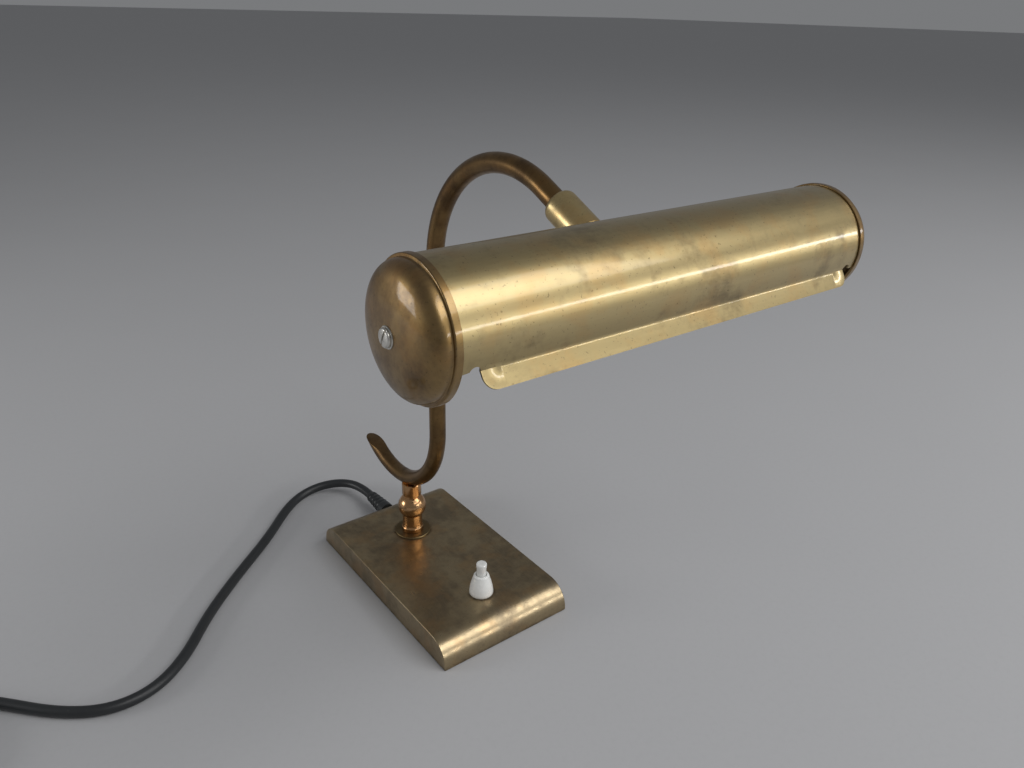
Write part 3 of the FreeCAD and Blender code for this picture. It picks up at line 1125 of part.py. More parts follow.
def cord_coil():
    """Outer shape of the tied coil."""
    inner, outer, foot, top = coil_section()
    coil = lathe([(inner, foot), (outer, foot), (outer, top), (inner, top)])
    coil = coil.makeFillet(0.9 * CORD_R, [e for e in coil.Edges if len(e.Vertexes) == 1])
    coil.translate(V(COIL_CENTRE[0], COIL_CENTRE[1], 0))
    return coil


def coil_tie():
    """Strap round the turns, on the side of the coil away from the lamp."""
    inner, outer, foot, top = coil_section()
    strap = block(inner - TIE_THICK, outer + TIE_THICK, -TIE_WIDTH / 2, TIE_WIDTH / 2,
                  foot - TIE_THICK, top + TIE_THICK)
    long_edges = [e for e in strap.Edges if abs(e.tangentAt(e.FirstParameter).y) > 0.9]
    strap = strap.makeFillet(0.9 * CORD_R, long_edges)
    strap = strap.rotate(ORIGIN, AXIS_Z, TIE_ANGLE)
    strap.translate(V(COIL_CENTRE[0], COIL_CENTRE[1], 0))
    return strap.cut(cord_coil())


def plug_body():
    """Flat-sided mains plug with a tapered boot, lying on its flat side."""
    face_y = PLUG_FACE_Y
    half = PLUG_WIDTH / 2
    low = TAIL_END.z - PLUG_HEIGHT / 2
    body = block(TAIL_END.x - half, TAIL_END.x + half, face_y, face_y + PLUG_LENGTH, low, low + PLUG_HEIGHT)
    long_edges = [e for e in body.Edges if abs(e.tangentAt(e.FirstParameter).y) > 0.9]
    body = body.makeFillet(PLUG_SIDE_R, long_edges)
    back = [e for e in body.Edges if abs(e.BoundBox.YMin - face_y - PLUG_LENGTH) < 1e-6]
    body = body.makeFillet(PLUG_BACK_R, back)
    root = V(TAIL_END.x, TAIL_END.y - PLUG_BOOT - PLUG_BOOT_SINK, TAIL_END.z)
    boot = Part.makeCone(PLUG_BOOT_ROOT_R, PLUG_BOOT_TIP_R, PLUG_BOOT + PLUG_BOOT_SINK, root, AXIS_Y)
    return body.fuse(boot).removeSplitter()


def plug_pin(side):
    face_y = PLUG_FACE_Y
    pin = rod(PLUG_PIN_R, V(TAIL_END.x + side * PLUG_PIN_PITCH / 2, face_y, TAIL_END.z), PLUG_PIN_LENGTH,
              V(0, -1, 0))
    tip = [e for e in pin.Edges if abs(e.BoundBox.YMax - face_y + PLUG_PIN_LENGTH) < 1e-6]
    return pin.makeFillet(PLUG_PIN_ROUND, tip)


def tube_checked(route, name):
    """Cord tube, with its volume held against section times length."""
    wire = rounded_route(route, name)
    tube = tube_on(wire, CORD_R)
    expected = math.pi * CORD_R ** 2 * wire.Length
    if abs(tube.Volume / expected - 1) > 0.01:
        raise ValueError(name + " has the wrong volume")
    return tube


def main():
    # Stand.
    save("base_cover", base_cover())
    save("base_weight", base_weight())
    save("base_plate", base_plate())
    save("base_felt", sheet_under(FELT_THICK, 0))
    save("plate_screws", *[plate_screw(x, y) for x, y in plate_screw_places()])
    save("cord_clamp", cord_clamp())
    save("clamp_screws", *[clamp_screw(CORD_X + x) for x in (-CLAMP_SCREW_X, CLAMP_SCREW_X)])
    save("switch_body", switch_body())
    save("switch_collar", switch_collar())
    save("switch_button", switch_button())
    save("switch_spring", switch_spring())
    save("switch_terminals", switch_terminal(-1), switch_terminal(1))
    save("stem_flange", stem_flange())
    save("stem_column", stem_column())
    save("stem_nipple", stem_nipple())
    save("stem_washer", stem_washer())
    save("stem_nut", stem_nut())
    save("arm_tube", arm_tube())
    save("hook_plug", hook_plug())
    save("swivel_collar", swivel_collar())
    save("base_wires", *base_wires())
    save("arm_lead", arm_lead())
    save("cord_boot", cord_boot())
    save("cord_inner_end", cord_inner_end())
    # Mains lead.
    save("cord_lead", tube_checked(CORD_ROUTE, "lead"))
    save("cord_coil", cord_coil())
    save("cord_tail", tube_checked(TAIL_ROUTE, "tail"))
    save("coil_tie", coil_tie())
    save("plug_body", plug_body())
    save("plug_pins", plug_pin(-1), plug_pin(1))
    # Swivel.
    save("swivel_washer", swivel_washer())
    save("ferrule", ferrule())
    save("knuckle_fork", knuckle_fork())
    save("friction_washers", friction_washer(-1), friction_washer(1))
    save("pivot_screw", pivot_screw())
    save("pivot_nut", pivot_nut())
    # Shade.
    save("knuckle_tongue", knuckle_tongue())
    save("stud_saddle", stud_saddle())
    save("stud_nut", stud_nut())
    save("shade_tube", shade_tube())
    save("end_cap_left", along(mirrored(cap_shell()), SHADE_FRAME))
    save("end_cap_right", along(cap_shell(), SHADE_FRAME))
    for node, piece, frame in (
            ("cap_screws", cap_screw(), SHADE_FRAME), ("cap_washers", cap_washer(), SHADE_FRAME),
            ("cap_nuts", cap_nut(), SHADE_FRAME), ("holder_brackets", holder_bracket(), RAIL_FRAME),
            ("bracket_screws", bracket_screw(), RAIL_FRAME), ("lampholders", lampholder(), SHADE_FRAME),
            ("holder_nuts", holder_nut(), SHADE_FRAME), ("bulb_caps", lamp_cap(), SHADE_FRAME),
            ("bulb_glasses", lamp_glass(), SHADE_FRAME)):
        save(node, along(piece, frame), along(mirrored(piece), frame))
    save("shade_rail", along(shade_rail(), RAIL_FRAME))
    save("terminal_block", along(terminal_block(), RAIL_FRAME))
    save("shade_wires", *[along(wire, RAIL_FRAME) for wire in shade_wires()])


main()
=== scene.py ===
import json
import math
import bpy
import bmesh
from mathutils import Matrix, Vector


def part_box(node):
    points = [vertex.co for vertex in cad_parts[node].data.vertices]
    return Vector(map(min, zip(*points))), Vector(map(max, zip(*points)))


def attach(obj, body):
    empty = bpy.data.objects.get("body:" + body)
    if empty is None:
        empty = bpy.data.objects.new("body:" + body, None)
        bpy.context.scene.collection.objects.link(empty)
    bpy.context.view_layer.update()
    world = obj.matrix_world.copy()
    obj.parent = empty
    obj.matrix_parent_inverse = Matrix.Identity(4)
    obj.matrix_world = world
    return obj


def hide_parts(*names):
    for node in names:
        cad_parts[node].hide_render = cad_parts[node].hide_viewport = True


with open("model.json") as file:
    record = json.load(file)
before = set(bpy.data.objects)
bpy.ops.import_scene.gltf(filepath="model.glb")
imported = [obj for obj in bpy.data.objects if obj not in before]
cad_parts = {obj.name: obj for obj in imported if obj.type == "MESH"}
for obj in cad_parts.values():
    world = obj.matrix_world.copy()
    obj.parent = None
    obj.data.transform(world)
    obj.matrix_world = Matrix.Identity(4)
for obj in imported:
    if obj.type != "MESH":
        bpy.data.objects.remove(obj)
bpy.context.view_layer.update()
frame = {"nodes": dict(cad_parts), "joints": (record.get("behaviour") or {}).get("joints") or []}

bl_info = {
    "name": "Brass Desk Lamp",
    "version": (1, 0, 0),
    "blender": (4, 5, 0),
    "location": "View3D > Sidebar > Lamp",
    "description": "Pieces, finishes and studio of a brass desk lamp with a tubular shade",
    "category": "Add Mesh",
}

# ---- places taken from the frame ----------------------------------------------------------------
MM = 0.001
X, Y, Z = Vector((1, 0, 0)), Vector((0, 1, 0)), Vector((0, 0, 1))
TINY = 1e-6                 # metres within which two places are one
SWIVEL = next(joint for joint in frame["joints"] if joint["name"] == "head_swivel")


def corners(node):
    """Lowest and highest corners of a CAD node."""
    return [Vector(corner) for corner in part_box(node)]


def middle(node):
    low, high = corners(node)
    return (low + high) / 2


COVER_LOW, COVER_HIGH = corners("base_cover")
COVER_TOP = COVER_HIGH.z
STEM = Vector((0, middle("stem_flange").y, COVER_TOP))
SWITCH = Vector((0, middle("switch_collar").y, COVER_TOP))
SHADE = middle("end_cap_left") * Vector((0, 1, 1))
ARM_END = Vector(SWIVEL["pos_m"])
ARM_HEADING = Vector(SWIVEL["axis"])
CAP_RIM = corners("end_cap_right")[0].x


# ---- settings a user would change ----------------------------------------------------------------
def length(name, description, default):
    return bpy.props.FloatProperty(name=name, description=description, default=default, min=0, unit="LENGTH",
                                   precision=5)


def angle(name, description, degrees):
    return bpy.props.FloatProperty(name=name, description=description, default=math.radians(degrees),
                                   subtype="ANGLE")


def power(name, description, default):
    return bpy.props.FloatProperty(name=name, description=description, default=default, min=0, unit="POWER")


def colour(name, description, default):
    return bpy.props.FloatVectorProperty(name=name, description=description, default=default, size=3, min=0,
                                         max=1, subtype="COLOR")


class LampBaseSettings(bpy.types.PropertyGroup):
    roll_radius: length("Roll radius", "Outside radius of the rolled front and back edges", 15 * MM)
    sheet: length("Sheet", "Thickness of the cover's sheet", 1 * MM)
    fold_radius: length("Fold radius", "Rounding of the side folds", 0.45 * MM)


class LampSwitchSettings(bpy.types.PropertyGroup):
    body_radius: length("Body radius", "Inside radius of the collar's foot", 5.05 * MM)
    top_radius: length("Top radius", "Outside radius of the collar's top", 4.9 * MM)
    bore: length("Bore", "Hole for the button", 3.35 * MM)
    button_radius: length("Button radius", "Shank of the button", 3 * MM)
    head_radius: length("Head radius", "Head of the button", 3.25 * MM)
    flange_radius: length("Flange radius", "Flange that keeps the button in", 4.6 * MM)
    flange_thick: length("Flange thickness", "Flange that keeps the button in", 1.48 * MM)
    spring_radius: length("Spring radius", "Middle of the spring's wire", 3.4 * MM)
    spring_wire: length("Spring wire", "Radius of the spring's wire", 0.35 * MM)
    travel: length("Travel", "How far the spring is pressed", 3.06 * MM)


class LampStemSettings(bpy.types.PropertyGroup):
    flange_radius: length("Flange radius", "Disc under the stem", 12 * MM)
    flange_thick: length("Flange thickness", "Disc under the stem", 1 * MM)
    foot_radius: length("Foot radius", "Straight foot of the stem", 7.2 * MM)
    neck_radius: length("Neck radius", "Neck under the ball", 6.6 * MM)
    ball_radius: length("Ball radius", "Turned ball of the stem", 9.3 * MM)
    ball_rise: length("Ball rise", "Centre of the ball above the base", 20 * MM)
    groove_radius: length("Groove radius", "Groove under the collar", 5.5 * MM)
    collar_radius: length("Collar radius", "Collar at the top of the stem", 6.4 * MM)
    collar_rise: length("Collar rise", "Foot of the collar above the base", 29 * MM)
    height: length("Height", "Top of the stem above the base", 37.6 * MM)


class LampArmSettings(bpy.types.PropertyGroup):
    tube_radius: length("Tube radius", "Outside radius of the arm", 5 * MM)
    arch_radius: length("Arch radius", "Centre line of the arch", 63.6 * MM)
    end_run: length("End run", "Straight end beyond the arch", 18.6 * MM)
    hook_radius: length("Hook radius", "Centre line of the hook", 51.75 * MM)
    hook_tip: angle("Hook tip", "Angle of the hook's outer tip", -46)
    hook_cut: angle("Hook cut", "Angle where the slanting cut begins", -88)
    ferrule_start: length("Ferrule start", "From the arch to the near end of the sleeve", 10.6 * MM)
    ferrule_end: length("Ferrule end", "From the arch to the far end of the sleeve", 34 * MM)
    ferrule_radius: length("Ferrule radius", "Sleeve at the end of the arm", 8 * MM)
    ferrule_bore: length("Ferrule bore", "Inside radius of the sleeve", 6.85 * MM)
    ferrule_round: length("Ferrule round", "Rounding of the sleeve's shoulder", 3.2 * MM)


class LampShadeSettings(bpy.types.PropertyGroup):
    radius: length("Radius", "Outside radius of the shade", 24.55 * MM)
    sheet: length("Sheet", "Thickness of the shade's sheet", 0.7 * MM)
    opening: angle("Opening", "Half angle of the downward opening", 71.35)
    lip_width: length("Lip width", "Width of the lips along the opening", 7 * MM)
    lip_drop: angle("Lip drop", "Slope of the lips below the horizontal", 58)
    lip_gap: length("Lip gap", "End of a lip to the rim of the cap", 7.5 * MM)
    lip_corner: length("Lip corner", "Corner radius of the lips", 5 * MM)
    notch: length("Notch", "Relief beside the ends of the lips", 2.2 * MM)
    cap_sheet: length("Cap sheet", "Thickness of the spun caps", 0.75 * MM)
    cap_skirt: length("Cap skirt", "Width of the skirt of the caps", 2.9 * MM)
    cap_step: length("Cap step", "Step between skirt and dome", 0.7 * MM)
    dome_radius: length("Dome radius", "Radius of the caps' domes", 24 * MM)
    dome_rise: length("Dome rise", "Height of the caps' domes", 8.5 * MM)
    fullness: bpy.props.FloatProperty(name="Dome fullness", description="2 is an ellipse, more is flatter",
                                      default=2.4, min=1.5)
    screw_head_radius: length("Screw head radius", "Heads of the cap screws", 3.4 * MM)
    screw_head: length("Screw head", "Height of the heads of the cap screws", 1.3 * MM)
    screw_radius: length("Screw radius", "Shanks of the cap screws", 1.98 * MM)
    screw_slot: length("Screw slot", "Width of the slots of the cap screws", 0.9 * MM)
    washer: length("Washer", "Thickness of the washers under the cap screws", 0.4 * MM)


class LampLeadSettings(bpy.types.PropertyGroup):
    radius: length("Radius", "Radius of the mains lead", 3.1 * MM)
    total: length("Length", "Length of the free lead", 1.79)


class LampFinishSettings(bpy.types.PropertyGroup):
    shade: colour("Shade brass", "Clean brass of the shade", (0.44, 0.345, 0.17))
    shade_tarnish: colour("Shade tarnish", "Tarnished brass of the shade", (0.19, 0.145, 0.075))
    cap: colour("Cap brass", "Clean brass of the caps", (0.29, 0.19, 0.075))
    cap_tarnish: colour("Cap tarnish", "Tarnished brass of the caps", (0.11, 0.065, 0.032))
    arm: colour("Arm brass", "Clean coppery brass of the arm", (0.21, 0.13, 0.055))
    arm_tarnish: colour("Arm tarnish", "Tarnished brass of the arm", (0.08, 0.047, 0.025))
    base: colour("Base brass", "Clean brass of the base", (0.42, 0.33, 0.20))
    base_tarnish: colour("Base tarnish", "Tarnished brass of the base", (0.19, 0.15, 0.10))


class LampStudioSettings(bpy.types.PropertyGroup):
    floor: colour("Floor", "Floor of the studio", (0.52, 0.52, 0.53))
    sky: colour("Sky", "Light from all round", (0.19, 0.194, 0.20))
    key_power: power("Key power", "Power of the large soft light", 33.0)
    fill_power: power("Fill power", "Power of the fill light", 3.0)
    strip_power: power("Strip power", "Power of the low strip light", 4.0)


# ---- shader arithmetic ---------------------------------------------------------------------------
class Signal:
    """A shader output that takes part in Python arithmetic: each step adds a Math node."""

    def __init__(self, finish, socket):
        self.finish = finish
        self.socket = socket

    def maths(self, operation, other):
        return self.finish.add("ShaderNodeMath", {"operation": operation}, {0: self, 1: other})

    def __add__(self, other):
        return self.maths("ADD", other)

    def __rsub__(self, other):
        return self.maths("MULTIPLY", -1) + other

    def __mul__(self, other):
        return self.maths("MULTIPLY", other)

    def most(self, other):
        return self.maths("MAXIMUM", other)

    __radd__ = __add__
    __rmul__ = __mul__

    def rise(self, low, high):
        """0 below low, 1 above high, smooth between."""
        return self.finish.add("ShaderNodeMapRange", {"interpolation_type": "SMOOTHSTEP"},
                               {"Value": self, "From Min": low, "From Max": high})


class Finish:
    """A node material under construction."""

    def __init__(self, name):
        self.material = bpy.data.materials.new(name)
        self.material.use_nodes = True
        self.tree = self.material.node_tree
        self.tree.nodes.clear()
        self.place = self.add("ShaderNodeTexCoord", {}, {}, "Object")

    def add(self, kind, settings, values, output=0):
        """New node with its settings, its sockets' values or links, and one of its outputs."""
        node = self.tree.nodes.new(kind)
        for key, value in settings.items():
            setattr(node, key, value)
        for key, value in values.items():
            if isinstance(value, Signal):
                self.tree.links.new(value.socket, node.inputs[key])
            else:
                node.inputs[key].default_value = value
        return Signal(self, node.outputs[output])

    def stretched(self, scale):
        return self.add("ShaderNodeMapping", {}, {"Vector": self.place, "Scale": scale})

    def noise(self, scale, detail=4, roughness=0.55, vector=None, distortion=0):
        return self.add("ShaderNodeTexNoise", {}, {"Vector": vector or self.place, "Scale": scale,
                                                   "Detail": detail, "Roughness": roughness,
                                                   "Distortion": distortion})

    def axis(self, letter):
        return self.add("ShaderNodeSeparateXYZ", {}, {0: self.place}, letter)

    def mix(self, factor, first, second, blend="MIX"):
        """Two colours, either of them a link or plain numbers."""
        tones = [tone if isinstance(tone, Signal) else (*tone, 1) for tone in (first, second)]
        return self.add("ShaderNodeMix", {"data_type": "RGBA", "blend_type": blend},
                        {0: factor, 6: tones[0], 7: tones[1]}, 2)

    def bump(self, height, distance, strength=1.0):
        return self.add("ShaderNodeBump", {}, {"Height": height, "Distance": distance, "Strength": strength})

    def surface(self, **values):
        """Principled surface; an underscore in a name stands for a space."""
        inputs = {}
        for key, value in values.items():
            plain = isinstance(value, tuple) and len(value) == 3
            inputs[key.replace("_", " ")] = (*value, 1) if plain else value
        shader = self.add("ShaderNodeBsdfPrincipled", {}, inputs)
        output = self.tree.nodes.new("ShaderNodeOutputMaterial")
        self.tree.links.new(shader.socket, output.inputs["Surface"])
        return self.material


# ---- finishes ------------------------------------------------------------------------------------
def aged_brass(name, clean, tarnish, polish=0.3, patches=0.5, streak=None, painted_shade=None, lacquer=0.0):
    """Old satin brass: clouded tarnish, small dark specks, fine rubbing marks and uneven gloss."""
    f = Finish(name)
    clean, tarnish = tuple(clean), tuple(tarnish)
    clouds = f.noise(22, 5, 0.62, distortion=0.4)
    mottle = f.noise(140, 6, 0.6)
    specks = f.noise(900, 3, 0.6)
    marks = f.noise(1, 4, 0.6, vector=f.stretched(streak or (160, 900, 900)))
    cover = (clouds * 0.62 + mottle * 0.38).rise(0.58 - 0.22 * patches, 0.72 - 0.12 * patches)
    tone = f.mix(cover * 0.8, clean, tarnish)
    warm = tuple(a * b for a, b in zip(clean, (1.06, 0.86, 0.68)))
    tone = f.mix(f.noise(60, 4, 0.6).rise(0.46, 0.66) * 0.45, tone, warm)
    tone = f.mix(specks.rise(0.62, 0.72) * 0.55, tone, tuple(0.35 * c for c in tarnish))
    tone = f.mix(marks.rise(0.35, 0.75) * 0.16, tone, tuple(min(1, 1.25 * c) for c in clean))
    rough = polish + cover * 0.12 + mottle * 0.08 + marks * 0.06
    # Painted shade: the optional mask darkens the brass nearly to black in patches, and roughens it.
    if painted_shade:
        shade_mask = painted_shade(f) * mottle.rise(0.3, 0.6)
        tone = f.mix(shade_mask * 0.75, tone, (0.035, 0.028, 0.02))
        rough = rough + shade_mask * 0.25
    height = mottle * 0.3 + marks * 0.35 + specks * 0.2
    return f.surface(Base_Color=tone, Metallic=1.0, Roughness=rough, Coat_Weight=lacquer, Coat_Roughness=0.09,
                     Normal=f.bump(height, 0.00006, 0.5))


def machined_brass(name, clean):
    f = Finish(name)
    marks = f.noise(1, 3, 0.5, vector=f.stretched((300, 1500, 1500)))
    cloud = f.noise(90, 4)
    tone = f.mix(cloud.rise(0.4, 0.7) * 0.6, clean, tuple(0.45 * c for c in clean))
    return f.surface(Base_Color=tone, Metallic=1.0, Roughness=0.24 + marks * 0.16 + cloud * 0.1,
                     Normal=f.bump(marks, 0.00003, 0.4))


def plated_steel(name, clean, rough):
    f = Finish(name)
    cloud = f.noise(160, 5, 0.6)
    grit = f.noise(1400, 3)
    tone = f.mix(cloud.rise(0.42, 0.66) * 0.5, clean, tuple(0.62 * c for c in clean))
    tone = f.mix(grit.rise(0.6, 0.7) * 0.4, tone, (0.12, 0.10, 0.08))
    return f.surface(Base_Color=tone, Metallic=1.0, Roughness=rough + cloud * 0.18 + grit * 0.05,
                     Normal=f.bump(cloud * 0.5 + grit * 0.5, 0.00004, 0.4))


def cast_iron(name):
    f = Finish(name)
    sand = f.noise(700, 5, 0.65)
    rust = f.noise(45, 4)
    tone = f.mix(rust.rise(0.5, 0.7) * 0.6, (0.05, 0.05, 0.052), (0.13, 0.055, 0.025))
    return f.surface(Base_Color=tone, Metallic=0.6, Roughness=0.55 + sand * 0.3,
                     Normal=f.bump(sand, 0.0003, 0.8))


def pressed_felt(name, tone):
    f = Finish(name)
    fibre = f.noise(1, 6, 0.75, vector=f.stretched((1700, 900, 900)), distortion=2.5)
    worn = f.noise(40, 4)
    pile = f.mix(fibre.rise(0.3, 0.75), tuple(0.55 * c for c in tone), tuple(min(1, 1.6 * c) for c in tone))
    pile = f.mix(worn.rise(0.5, 0.7) * 0.35, pile, tuple(0.5 * c for c in tone))
    return f.surface(Base_Color=pile, Roughness=0.95, Sheen_Weight=0.4, Normal=f.bump(fibre, 0.0004, 0.7))


def moulded(name, tone, rough, soil=0.25, coat=0.0):
    """Moulded plastic or rubber with a faint skin and handling marks."""
    f = Finish(name)
    skin = f.noise(1100, 3)
    smear = f.noise(70, 5, 0.6)
    dust = f.noise(320, 5, 0.7)
    surface = f.mix(smear.rise(0.45, 0.72) * soil, tone, tuple(0.55 * c for c in tone))
    surface = f.mix(dust.rise(0.62, 0.78) * soil * 0.8, surface, tuple(min(1, c + 0.09) for c in tone))
    return f.surface(Base_Color=surface, Roughness=rough + smear * 0.14 + dust * 0.08, Coat_Weight=coat,
                     Normal=f.bump(skin, 0.00003, 0.5))


def clear_glass(name):
    f = Finish(name)
    haze = f.noise(120, 4)
    tone = f.mix(haze.rise(0.5, 0.8), (0.99, 0.99, 0.98), (0.93, 0.92, 0.88))
    return f.surface(Base_Color=tone, Roughness=0.03 + haze * 0.05, Transmission_Weight=1.0, IOR=1.45)


def floor_paint(name, tone):
    f = Finish(name)
    cloud = f.noise(6, 4)
    grain = f.noise(260, 6, 0.7)
    shade = f.mix(cloud * 0.5, tuple(tone), tuple(0.93 * c for c in tone))
    shade = f.mix(grain.rise(0.45, 0.7) * 0.12, shade, tuple(0.8 * c for c in tone))
    return f.surface(Base_Color=shade, Roughness=0.85 + grain * 0.1, Normal=f.bump(grain, 0.0002, 0.3))


def base_painted_shade(f):
    """Mask of painted shade: a band along the foot of the cover and rings round the stem and the switch."""
    foot_band, ring_band = 2.5 * MM, 2.2 * MM
    total = ((COVER_LOW.z + foot_band) - f.axis("Z")).rise(0, foot_band) * 0.7
    for spot, reach in ((STEM, 12 * MM), (SWITCH, 7.6 * MM)):
        away = f.add("ShaderNodeVectorMath", {"operation": "DISTANCE"}, {0: f.place, 1: spot}, 1)
        total = total.most(((reach + ring_band) - away).rise(0, ring_band) * 0.8)
    return total


FINISHES = {}


def make_finishes(tones):
    FINISHES.update(
        shade=aged_brass("ShadeBrass", tones.shade, tones.shade_tarnish, 0.30, 0.45, (60, 900, 900),
                         lacquer=0.5),
        # Inner faces of the shade: the same aged brass made much darker, painted shade inside the tube.
        shade_inside=aged_brass("ShadeInsidePaintedDark", (0.16, 0.12, 0.065), (0.05, 0.037, 0.022), 0.42, 0.8),
        cap=aged_brass("CapBrass", tones.cap, tones.cap_tarnish, 0.30, 0.7, lacquer=0.5),
        arm=aged_brass("ArmBrass", tones.arm, tones.arm_tarnish, 0.25, 0.7, (900, 900, 130)),
        stem=aged_brass("StemBrass", (0.60, 0.36, 0.18), (0.30, 0.17, 0.08), 0.12, 0.5),
        flange=aged_brass("FlangeBrass", tones.shade_tarnish, (0.14, 0.10, 0.05), 0.34, 0.7),
        ferrule=aged_brass("FerruleBrass", (0.62, 0.48, 0.24), (0.30, 0.22, 0.11), 0.25, 0.6),
        base=aged_brass("BaseBrass", tones.base, tones.base_tarnish, 0.22, 0.85, (900, 110, 900), base_painted_shade),
        brass=machined_brass("MachinedBrass", (0.62, 0.47, 0.22)),
        nickel=plated_steel("NickelScrew", (0.74, 0.72, 0.67), 0.2),
        zinc=plated_steel("ZincSteel", (0.58, 0.58, 0.56), 0.3),
        iron=cast_iron("WeightIron"),
        felt=pressed_felt("BaseFelt", (0.035, 0.085, 0.05)),
        white=moulded("SwitchWhite", (0.92, 0.92, 0.89), 0.16, 0.12, 0.3),
        rubber=moulded("LeadSheath", (0.022, 0.024, 0.026), 0.30, 0.35),
        black=moulded("PlugBlack", (0.022, 0.022, 0.023), 0.42, 0.4),
        bakelite=moulded("HolderBakelite", (0.05, 0.035, 0.026), 0.25, 0.3, 0.2),
        wire=moulded("WireBrown", (0.16, 0.06, 0.025), 0.4, 0.3),
        nylon=moulded("NylonWasher", (0.72, 0.70, 0.62), 0.4, 0.3),
        glass=clear_glass("BulbGlass"),
        tungsten=plated_steel("Filament", (0.35, 0.34, 0.33), 0.35),
    )


# ---- mesh helpers --------------------------------------------------------------------------------
def turned_to(start, heading):
    """Matrix that puts local +Z along a heading from a start point, with local X kept near world X."""
    z = Vector(heading).normalized()
    x = (X - z * X.dot(z)) if abs(X.dot(z)) < 0.9 else (Y - z * Y.dot(z))
    x.normalize()
    matrix = Matrix((x, z.cross(x), z)).transposed().to_4x4()
    matrix.translation = start
    return matrix


def arc(centre, radius, start, end, steps):
    """(radius, height) points along an arc, in degrees from the outward direction."""
    angles = [math.radians(start + (end - start) * i / steps) for i in range(steps + 1)]
    return [(centre[0] + radius * math.cos(a), centre[1] + radius * math.sin(a)) for a in angles]


def dome(radius, rise, foot, fullness, steps, hole=2.2 * MM):
    """(radius, height) points of a dome from its foot up to the hole at its crest."""
    power = 2 / fullness
    angles = [math.pi / 2 * i / steps for i in range(steps)]
    points = [(radius * math.cos(a) ** power, foot + rise * math.sin(a) ** power) for a in angles]
    points = [p for p in points if p[0] > hole]
    return points + [(hole, foot + rise * (1 - (hole / radius) ** fullness) ** (1 / fullness))]


def spun(profile, steps=96):
    """Turned shape from a closed loop of (radius, height) points about the Z axis."""
    bm = bmesh.new()
    verts = [bm.verts.new((r, 0, h)) for r, h in profile]
    edges = [bm.edges.new(pair) for pair in zip(verts, verts[1:] + verts[:1]) if pair[0].co != pair[1].co]
    bmesh.ops.spin(bm, geom=verts + edges, cent=(0, 0, 0), axis=(0, 0, 1), angle=math.tau, steps=steps,
                   use_merge=True)
    bmesh.ops.remove_doubles(bm, verts=bm.verts, dist=1e-7)
    bmesh.ops.dissolve_degenerate(bm, edges=bm.edges, dist=1e-8)
    return bm


def placed(bm, matrix):
    bmesh.ops.transform(bm, matrix=matrix, verts=bm.verts)
    return bm


def moved(bm, way):
    bmesh.ops.translate(bm, vec=way, verts=bm.verts)
    return bm


def bevelled(bm, geom, width, segments, affect="EDGES", clamp=True):
    bmesh.ops.bevel(bm, geom=geom, offset=width, offset_type="OFFSET", segments=segments, profile=0.5,
                    affect=affect, material=-1, clamp_overlap=clamp)


def soften(bm, width, segments=2, sharper=32, edges=None):
    """Rounds the edges that turn by more than an angle in degrees."""
    bm.normal_update()
    sharp = [e for e in edges or bm.edges if e.is_manifold and e.calc_face_angle(0) > math.radians(sharper)]
    bevelled(bm, sharp, width, segments)


def swept(bm, geom, centre, axis, angle, steps):
    """Spins edges about an axis without closing the turn, and returns the last ones."""
    return bmesh.ops.spin(bm, geom=geom, cent=centre, axis=axis, angle=angle, steps=steps,
                          use_merge=False)["geom_last"]


def wound(start, axis, wire, sides, advance, turns, steps):
    """Round wire wound about an axis, from a start point, with its advance in each turn."""
    bm = bmesh.new()
    bmesh.ops.create_circle(bm, segments=sides, radius=wire, cap_ends=False, matrix=turned_to(start, Y))
    bmesh.ops.spin(bm, geom=bm.verts[:] + bm.edges[:], cent=(0, 0, 0), axis=axis, dvec=advance / steps,
                   angle=math.tau * turns, steps=turns * steps, use_merge=False)
    return bm


def joined(*parts):
    """One bmesh from several."""
    whole = bmesh.new()
    for bm in parts:
        mesh = bpy.data.meshes.new("part")
        bm.to_mesh(mesh)
        bm.free()
        whole.from_mesh(mesh)
        bpy.data.meshes.remove(mesh)
    return whole


def piece(name, bm, body, finish, stands_for=(), weighted=False, recalc=True):
    """Finished object on its body, with its finish and the CAD nodes that it stands for."""
    bmesh.ops.remove_doubles(bm, verts=bm.verts, dist=1e-7)
    if recalc:
        bmesh.ops.recalc_face_normals(bm, faces=bm.faces)
    mesh = bpy.data.meshes.new(name)
    bm.to_mesh(mesh)
    bm.free()
    mesh.shade_smooth()
    mesh.set_sharp_from_angle(angle=math.radians(40))
    obj = bpy.data.objects.new(name, mesh)
    bpy.context.scene.collection.objects.link(obj)
    for kind in (finish if isinstance(finish, (list, tuple)) else [finish]):
        mesh.materials.append(FINISHES[kind])
    if weighted:
        modifier = obj.modifiers.new("Even shading", "WEIGHTED_NORMAL")
        modifier.keep_sharp = True
    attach(obj, body)
    if stands_for:
        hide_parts(*stands_for)
    return obj


def cut_away(bm, cutter):
    """The first shape less the second, by an exact boolean."""
    objects = []
    for part in (bm, cutter):
        mesh = bpy.data.meshes.new("part")
        bmesh.ops.recalc_face_normals(part, faces=part.faces)
        part.to_mesh(mesh)
        part.free()
        objects.append(bpy.data.objects.new("part", mesh))
        bpy.context.scene.collection.objects.link(objects[-1])
    modifier = objects[0].modifiers.new("Cut", "BOOLEAN")
    modifier.operation = "DIFFERENCE"
    modifier.solver = "EXACT"
    modifier.object = objects[1]
    result = bmesh.new()
    result.from_object(objects[0], bpy.context.evaluated_depsgraph_get())
    for obj in objects:
        bpy.data.meshes.remove(obj.data)
    return result


def mirrored_in_x(bm):
    """The shape and its reflection on the other side of X = 0."""
    both = bmesh.ops.duplicate(bm, geom=bm.verts[:] + bm.edges[:] + bm.faces[:])["geom"]
    copies = [v for v in both if isinstance(v, bmesh.types.BMVert)]
    bmesh.ops.scale(bm, vec=(-1, 1, 1), verts=copies)
    bmesh.ops.reverse_faces(bm, faces=[g for g in both if isinstance(g, bmesh.types.BMFace)])
    return bm


